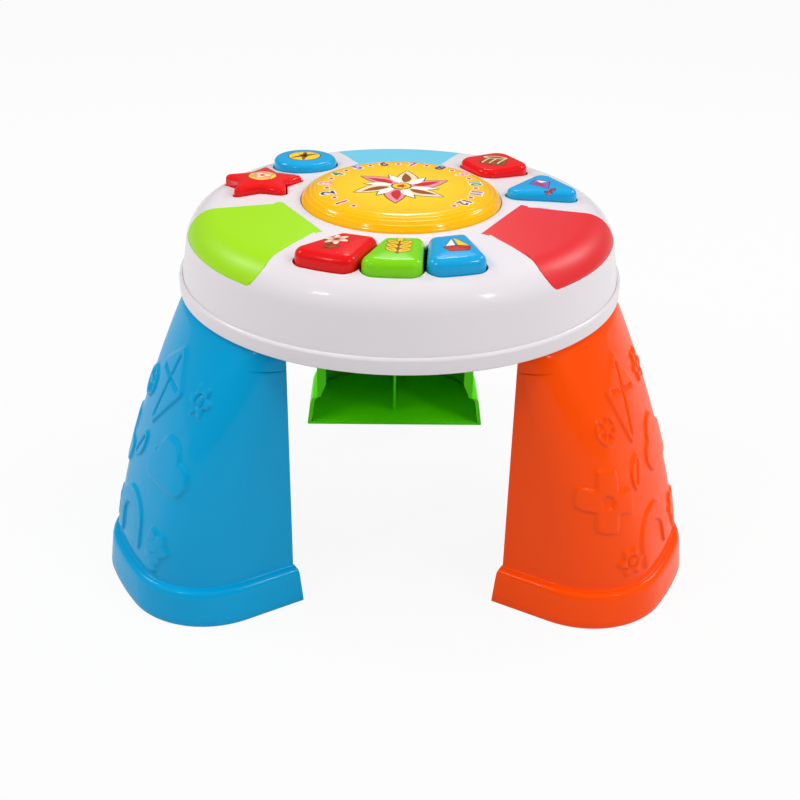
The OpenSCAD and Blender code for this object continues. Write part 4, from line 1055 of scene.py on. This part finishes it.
def make_button(node):
    at, outline, finish, works = BUTTONS[node]
    mesh, mover, ground = bmesh.new(), placed_flat(at), crown(hypot(*at[:2]))
    low, top, stop = ground - SHELL_T - BUTTON_SKIRT, ground + BUTTON_RISE, ground - STOP_DROP
    if node == "star_button":
        cap_shell(mesh, outline, low, top, star_mover(at), BUTTON_CROWN, rounding=STAR_ROUND)
    else:
        cap_shell(mesh, outline, low, top, mover, BUTTON_CROWN)
    prism(mesh, [mover(x, y, 0) for x, y in outline(STOP_OUT)], stop - STOP_T, stop)
    rod(mesh, *at_axis([(*works, CONTACT_TOP + CONTACT_GAP), (*works, top - 2.5)]), BUTTON_PLUNGER_R)
    return new_cap(node, mesh, finish)


caps = {**{node: make_key(node) for node in KEYS}, **{node: make_button(node) for node in BUTTONS}}
print({name: len(piece.data.polygons) for name, piece in caps.items()})

# %% [markdown]
# Now the shell can be carved, because every cap's outline is known. Each opening is the cap's own
# outline, grown by the clearance that lets it move. Neighbouring keys share one opening, so their
# prisms overlap, and each Boolean step only takes prisms that don't touch one another.

# %% Carve the play top
KEY_CLEAR, BUTTON_CLEAR, SUN_CLEAR = 0.9, 0.7, 0.6


def key_hole(step):
    return turned_plan(key_outline(KEY_CLEAR, RED_SPLAY if step < 0 else 0), KEY_DIR + step * KEY_PITCH)


def button_hole(node):
    at, outline = BUTTONS[node][:2]
    return turned_plan(outline(BUTTON_CLEAR), at[2], at)


def make_play_top():
    hollow = carved(top_solid(SHELL_T, TONGUE_Z - 3), [("DIFFERENCE", panel_columns(SHELL_T))])
    recesses = carved(panel_columns(0), [("DIFFERENCE", top_solid(PANEL_T, TONGUE_Z - 3))])
    openings = columns(circle(SUN_R + SUN_CLEAR, 180), key_hole(0), *map(button_hole, BUTTONS))
    cuts = (hollow, top_solid(SHELL_T + PANEL_T, TONGUE_Z - 4), recesses, openings,
            columns(key_hole(-1), key_hole(1)))
    mesh = carved(top_solid(0), [("DIFFERENCE", cut) for cut in cuts])
    return softened("play_top", mesh, "shell_white", 0.35, "top_shell", CARVED_WELD)


play_top = make_play_top()
print(play_top.name, len(play_top.data.polygons), "faces")

# %% [markdown]
# Prints are thin labels: flat shapes laid on a cap, one ink over the next, each a few hundredths
# of a millimetre higher. A label has to follow the cap's curve, so each shape is cut on a fine
# grid and its corners are dropped on the cap with a ray. The dark ink goes down first and shows
# round every shape as its outline.

# %% Inks and label helpers
INKS = {
    "ink_dark": (52, 26, 22), "ink_white": (250, 246, 238), "ink_cream": (250, 222, 180),
    "ink_yellow": (250, 206, 40), "ink_brown": (150, 84, 34), "ink_red": (206, 38, 40),
    "ink_pink": (242, 150, 160), "ink_purple": (146, 96, 184), "ink_navy": (50, 60, 122),
    "ink_green": (74, 150, 50),
}
for name, colour in INKS.items():
    plastic[name] = make_plastic(name, colour, roughness=0.3, coat=0.2, uneven=0.08, ripple=0.01)
INK_NAMES = list(INKS)
LABEL_GRID, FIRST_INK, NEXT_INK, DROP_FROM = 1.6, 0.05, 0.025, LIP_Z + 120


def disc(x, y, r, stretch=1.0, turn=0):
    return turned_plan([(a, b * stretch) for a, b in circle(r, 28)], turn, (x, y))


def petals(x, y, count, r, depth, turn=0):
    angles = [2 * pi * k / 72 for k in range(72)]
    return turned_plan([polar(r + depth * cos(count * a), a) for a in angles], turn, (x, y))


def fattened(points, by):
    """An outline that runs anticlockwise, pushed outwards by a width."""
    grown = []
    for i, (x, y) in enumerate(points):
        (ax, ay), (bx, by_) = points[i - 1], points[(i + 1) % len(points)]
        run = hypot(bx - ax, by_ - ay) or 1
        grown.append((x + by * (by_ - ay) / run, y - by * (bx - ax) / run))
    return grown


def glyph(text, size, swell):
    """Flat faces of a number in the plain built-in typeface, as lists of corners."""
    curve = bpy.data.curves.new("glyph", "FONT")
    curve.body, curve.size, curve.offset, curve.resolution_u = text, size, swell, 4
    curve.align_x, curve.align_y = "CENTER", "CENTER"
    mesh = made_real(in_scene("glyph", curve))
    faces = [[mesh.vertices[i].co[:2] for i in face.vertices] for face in mesh.polygons]
    bpy.data.curves.remove(curve)
    bpy.data.meshes.remove(mesh)
    return faces


def gridded(points):
    """A flat shape cut into small faces."""
    flat = bmesh.new()
    flat.faces.new([flat.verts.new((x, y, 0)) for x, y in points])
    for axis in (0, 1):
        values = [v.co[axis] for v in flat.verts]
        low, high = min(values), max(values)
        for k in range(1, ceil((high - low) / LABEL_GRID)):
            spot, way = [0, 0, 0], [0, 0, 0]
            spot[axis], way[axis] = low + k * LABEL_GRID, 1
            everything = flat.verts[:] + flat.edges[:] + flat.faces[:]
            bmesh.ops.bisect_plane(flat, geom=everything, plane_co=spot, plane_no=way, dist=1e-4)
    bmesh.ops.triangulate(flat, faces=flat.faces[:])
    bmesh.ops.recalc_face_normals(flat, faces=flat.faces[:])
    faces = [[v.co[:2] for v in (f.verts if f.normal.z > 0 else reversed(f.verts))] for f in flat.faces]
    flat.free()
    return faces


def lay_label(name, carrier, layers, place, body):
    """Lays (ink, shapes) layers on a carrier; place turns a label's (x, y) into the frame."""
    ground = BVHTree.FromObject(carrier, bpy.context.evaluated_depsgraph_get())
    mesh = bmesh.new()
    used = sorted({ink for ink, _ in layers}, key=INK_NAMES.index)
    for step, (ink, shapes) in enumerate(layers):
        lift = (FIRST_INK + NEXT_INK * step) * MM
        for shape in shapes:
            for face in gridded(shape):
                corners = []
                for x, y in face:
                    spot = place(x, y, DROP_FROM)
                    hit = ground.ray_cast(spot, Vector((0, 0, -1)))[0]
                    corners.append(mesh.verts.new((spot.x, spot.y, hit.z + lift)))
                mesh.faces.new(corners).material_index = used.index(ink)
    return new_piece(name, mesh, body, [plastic[ink] for ink in used])


print("inks:", INK_NAMES)

# %% [markdown]
# The numbers 1 to 12 run clockwise round the dome, their tops pointing outwards, with a white
# backing that keeps them clear of the amber. In the middle is a plain pinwheel flower.

# %% Number ring and flower on the dome
NUMBERS, RING_R, RING_START, RING_STEP = 12, 60.3, 232, 23.4
NUMBER_INKS = ("ink_red", "ink_navy", "ink_pink", "ink_green", "ink_purple", "ink_brown")
on_dome = placed_flat((0, 0, 0))


def number_layers():
    backing, fills = [], {ink: [] for ink in NUMBER_INKS}
    for i in range(NUMBERS):
        angle = RING_START - RING_STEP * (i + 0.5)
        at, text, size = polar(RING_R, radians(angle)), str(i + 1), 15 if i < 9 else 12
        for shapes, swell in ((backing, 1.5), (fills[NUMBER_INKS[i % 6]], 0.5)):
            shapes += [turned_plan(face, angle - 90, at) for face in glyph(text, size, swell)]
    return [("ink_white", backing)] + list(fills.items())


def blade(turn, start, length, width, bend):
    """A curved drop that points away from the middle."""
    left, right = [], []
    for k in range(17):
        t = k / 16
        half = width * sin(pi * min(1, t * 1.02) ** 0.8) ** 0.9 / 2 if 0 < t < 0.98 else 0.05
        x, y = start + length * t, bend * t * t
        left.append((x, y + half))
        right.append((x, y - half))
    return turned_plan(right + list(reversed(left)), turn)


def flower_layers():
    wide = [blade(60 * k + 10, 6, 34, 17, 9) for k in range(6)]
    slim = [blade(60 * k + 40, 8, 22, 8, 5) for k in range(6)]
    inner = [blade(60 * k + 14, 10, 24, 8, 6) for k in range(6)]
    return [
        ("ink_dark", [fattened(p, 0.8) for p in wide + slim]), ("ink_pink", wide[::2]),
        ("ink_cream", wide[1::2]), ("ink_red", inner[::2]), ("ink_brown", inner[1::2]), ("ink_white", slim),
        ("ink_dark", [disc(0, 0, 8.2)]), ("ink_yellow", [disc(0, 0, 7.2)]),
        ("ink_red", [petals(0, 0, 5, 3.4, 1)])]


numbers = lay_label("dome_numbers", dome, number_layers(), on_dome, "sun")
flower = lay_label("dome_flower", dome, flower_layers(), on_dome, "sun")
print("numbers:", len(numbers.data.polygons), "faces; flower:", len(flower.data.polygons), "faces")

# %% [markdown]
# Small dots fill the gaps between the numbers. They repeat by a rule, so Geometry Nodes make them:
# points on an arc, a disc on each, then real mesh. The sizes are named inputs of the tree.

# %% Dots between the numbers
def make_dot_tree(material):
    tree = bpy.data.node_groups.new("Ring of dots", "GeometryNodeTree")
    for label, kind, value in (
            ("Count", "Int", 13), ("Ring radius", "Float", 0.06), ("Dot radius", "Float", 0.002),
            ("Start angle", "Float", 0.0), ("Sweep angle", "Float", 1.0)):
        socket = tree.interface.new_socket(label, in_out="INPUT", socket_type="NodeSocket" + kind)
        socket.default_value = value
    tree.interface.new_socket("Geometry", in_out="OUTPUT", socket_type="NodeSocketGeometry")
    given, put = tree.nodes.new("NodeGroupInput"), tree.nodes.new("NodeGroupOutput")
    arc, points, dot, spread, real, paint = [tree.nodes.new("GeometryNode" + kind) for kind in (
        "CurveArc", "CurveToPoints", "MeshCylinder", "InstanceOnPoints", "RealizeInstances", "SetMaterial")]
    dot.fill_type = "TRIANGLE_FAN"
    dot.inputs["Vertices"].default_value = 20
    dot.inputs["Depth"].default_value = 0.00004
    paint.inputs["Material"].default_value = material
    for source, label, node, socket in (
            (given, "Ring radius", arc, "Radius"), (given, "Start angle", arc, "Start Angle"),
            (given, "Sweep angle", arc, "Sweep Angle"), (given, "Count", points, "Count"),
            (given, "Dot radius", dot, "Radius"), (arc, "Curve", points, "Curve"),
            (points, "Points", spread, "Points"), (dot, "Mesh", spread, "Instance"),
            (spread, "Instances", real, "Geometry"), (real, "Geometry", paint, "Geometry"),
            (paint, "Geometry", put, "Geometry")):
        tree.links.new(source.outputs[label], node.inputs[socket])
    return tree


def grown_mesh(name, tree, values):
    """Runs a Geometry Nodes tree with values by input name and returns the plain mesh."""
    holder = in_scene(name, bpy.data.meshes.new(name))
    growth = holder.modifiers.new("growth", "NODES")
    growth.node_group = tree
    for item in tree.interface.items_tree:
        if item.in_out == "INPUT" and item.name in values:
            growth[item.identifier] = values[item.name]
    return made_real(holder)


def make_dots(name, ink, radius, lift):
    data = grown_mesh(name, make_dot_tree(plastic[ink]), {
        "Count": NUMBERS + 1, "Ring radius": RING_R * MM, "Dot radius": radius * MM,
        "Start angle": radians(RING_START), "Sweep angle": -radians(NUMBERS * RING_STEP)})
    data.transform(Matrix.Translation(on_axis(sun_height(RING_R - 2) + lift)))
    return entered(in_scene(name, data), "sun")


for ink, radius, lift in (("white", 2.7, 0.05), ("red", 1.8, 0.09)):
    piece = make_dots("dome_dots_" + ink, "ink_" + ink, radius, lift)
    print(piece.name, len(piece.data.polygons), "faces")

# %% [markdown]
# Each key and button carries a little label of its own: a flower, a leaf sprig, a boat, a ball, a
# sweet, a drum and a kite. They are plain drawings made of discs, petals and corners.

# %% Labels of the keys and buttons
def outlined(shapes, width=0.45):
    return ("ink_dark", [fattened(p, width) for p in shapes])


def flower_label():
    stem = [(-0.5, -9.5), (0.5, -9.5), (0.7, -2), (-0.7, -2)]
    head, leaf = petals(0, 3, 6, 5.6, 1.5), disc(3.6, -6.2, 3.2, 0.45, 25)
    return [outlined([head, leaf, stem]), ("ink_brown", [stem, leaf]), ("ink_cream", [head]),
            ("ink_pink", [petals(0, 3, 6, 3.6, 0.9, 30)]), ("ink_brown", [disc(0, 3, 1.7)])]


def sprig_label():
    stem = [(-0.5, -9.5), (0.5, -9.5), (0.4, 7.5), (-0.4, 7.5)]
    spots = [(s, y) for y in (-5, 0, 5) for s in (-1, 1)]
    leaves = [disc(s * 3.7, y, 3.9, 0.5, s * 35) for s, y in spots] + [disc(0, 9, 1.8, 2)]
    veins = [disc(s * 3.7, y, 2.6, 0.12, s * 35) for s, y in spots]
    return [("ink_brown", [fattened(p, 0.5) for p in leaves + [stem]]), ("ink_yellow", leaves),
            ("ink_brown", [stem] + veins)]


def boat_label():
    hull = [(-5.5, -7.5), (5.5, -7.5), (8.5, -2.5), (-8.5, -2.5)]
    sail, jib = [(0.8, -1.5), (7.5, -1.5), (0.8, 9)], [(-0.8, -1.5), (-0.8, 7), (-6.2, -1.5)]
    stripe = [(-7.4, -4.6), (7.4, -4.6), (7.8, -3.8), (-7.8, -3.8)]
    return [outlined([hull, sail, jib], 0.6), ("ink_red", [hull]), ("ink_yellow", [sail]),
            ("ink_white", [jib]), ("ink_brown", [stripe])]


def ball_label():
    ball = disc(0, 0, 8)
    seams = [disc(0, 0, 7.6, 0.16, turn) for turn in (20, 80)]
    return [outlined([ball]), ("ink_yellow", [ball]), ("ink_brown", seams),
            ("ink_dark", [petals(0, 0, 5, 2.4, 0.8)])]


def sweet_label():
    ball = disc(0, 0, 8)
    return [("ink_brown", [fattened(ball, 0.4)]), ("ink_yellow", [ball]), ("ink_pink", [disc(0, 0, 6)]),
            ("ink_cream", [petals(0, 0, 3, 3.6, 1.2)]), ("ink_red", [disc(0, 0, 1.5)])]


def drum_label():
    side = [(-7.5, -6), (7.5, -6), (7.5, 4), (-7.5, 4)]
    base, skin = disc(0, -6, 7.5, 0.36), disc(0, 4, 7.5, 0.36)
    laces = [[(x, -6.5), (x + 0.9, -6.5), (x + 4, 2.2), (x + 3.1, 2.2)] for x in (-6.8, -2.4, 2.4)]
    return [outlined([side, base, skin]), ("ink_brown", [side, base]), ("ink_cream", laces),
            ("ink_cream", [skin]), ("ink_brown", [disc(0, 4, 5.6, 0.3)])]


def kite_label():
    kite = [(0, -9), (6.5, 2), (0, 8.5), (-6.5, 2)]
    tail = [disc(2.2, -11, 1.9, 0.5, 35), disc(-1.6, -12.6, 1.9, 0.5, -30)]
    pale, warm = [(0, 1.4), (5, 2), (0, 7)], [(-5, 2), (0, -6), (0, 1.4)]
    return [outlined([kite] + tail, 0.6), ("ink_purple", [kite]), ("ink_white", [pale]),
            ("ink_red", tail + [warm])]


# [label, place of its middle from the axis, direction of its top, its size across and along]
LABELS = {
    "red_key": (flower_label, (-50, -116), 62, (1.3, 1.55)),
    "green_key": (sprig_label, (-3.5, -124), 84, (1.25, 1.5)),
    "blue_key": (boat_label, (37, -120), 100, (1.25, 1.5)),
    "oval_button": (ball_label, (-83, 92), 100, (1.7, 1.5)),
    "star_button": (sweet_label, (-114.2, 35), 96, (1.4, 1.4)),
    "square_button": (drum_label, (82, 86), 76, (1.45, 1.6)),
    "fan_button": (kite_label, (115, 21), 110, (1.35, 1.35)),
}
for node, (draw, at, top, (across, length)) in LABELS.items():
    layers = [(ink, [[(x * across, y * length) for x, y in shape] for shape in shapes])
              for ink, shapes in draw()]
    label = lay_label(node + "_label", caps[node], layers, placed_flat((*at, top - 90)), node)
    print(label.name, len(label.data.polygons), "faces")

# %% [markdown]
# Inside the housing are plain working parts: rubber contacts, boards, springs, a speaker, cells
# and leads. Their CAD shapes are right, so they only need finishes: plain plastics, and metals
# from the streaky shader group.

# %% Finishes of the working parts
# slot: [colour, roughness, coat, unevenness, ripple]
WORKING = {
    "inner_white": ((226, 226, 224), 0.5, 0, 0.08, 0.05), "sun_print": ((250, 188, 40), 0.6, 0, 0.1, 0.05),
    "contact_rubber": ((150, 150, 150), 0.75, 0, 0.12, 0.2),
    "led_red": ((232, 40, 26), 0.15, 0.6, 0.03, 0.02),
    "board_green": ((26, 96, 48), 0.4, 0.3, 0.15, 0.1), "chip_black": ((26, 26, 28), 0.45, 0, 0.12, 0.1),
    "knob_black": ((24, 24, 26), 0.5, 0, 0.1, 0.2), "cone_black": ((32, 31, 30), 0.85, 0, 0.15, 0.4),
    "cell_black": ((38, 38, 42), 0.3, 0.3, 0.06, 0.03), "lead_red": ((168, 30, 26), 0.55, 0, 0.1, 0.1),
}
# slot: [colour, roughness, streaks]
METALS = {"speaker_grey": ((96, 97, 102), 0.45, 0.15), "magnet_grey": ((74, 74, 76), 0.55, 0.25),
          "spring_steel": ((196, 198, 202), 0.28, 0.12), "screw_steel": ((190, 192, 196), 0.32, 0.15)}
for slot, (colour, *amounts) in WORKING.items():
    plastic[slot] = make_plastic(slot, colour, *amounts)
for slot, (colour, roughness, streaks) in METALS.items():
    amounts = {"Roughness": roughness, "Streaks": streaks}
    plastic[slot] = make_finish(slot, drawn_metal, colour, amounts, {"Metallic": 1})

replaced = {"top_shell", "base_pan", "sun_dome", *PANELS, *LEG_TURNS, *KEYS, *BUTTONS}
for row in frame["record"]["subparts"]:
    if row["node"] not in replaced:
        node = frame["nodes"][row["node"]]
        node.data.materials.clear()
        node.data.materials.append(plastic[row["material_slot"]])
        print(row["node"], "is", row["material_slot"])
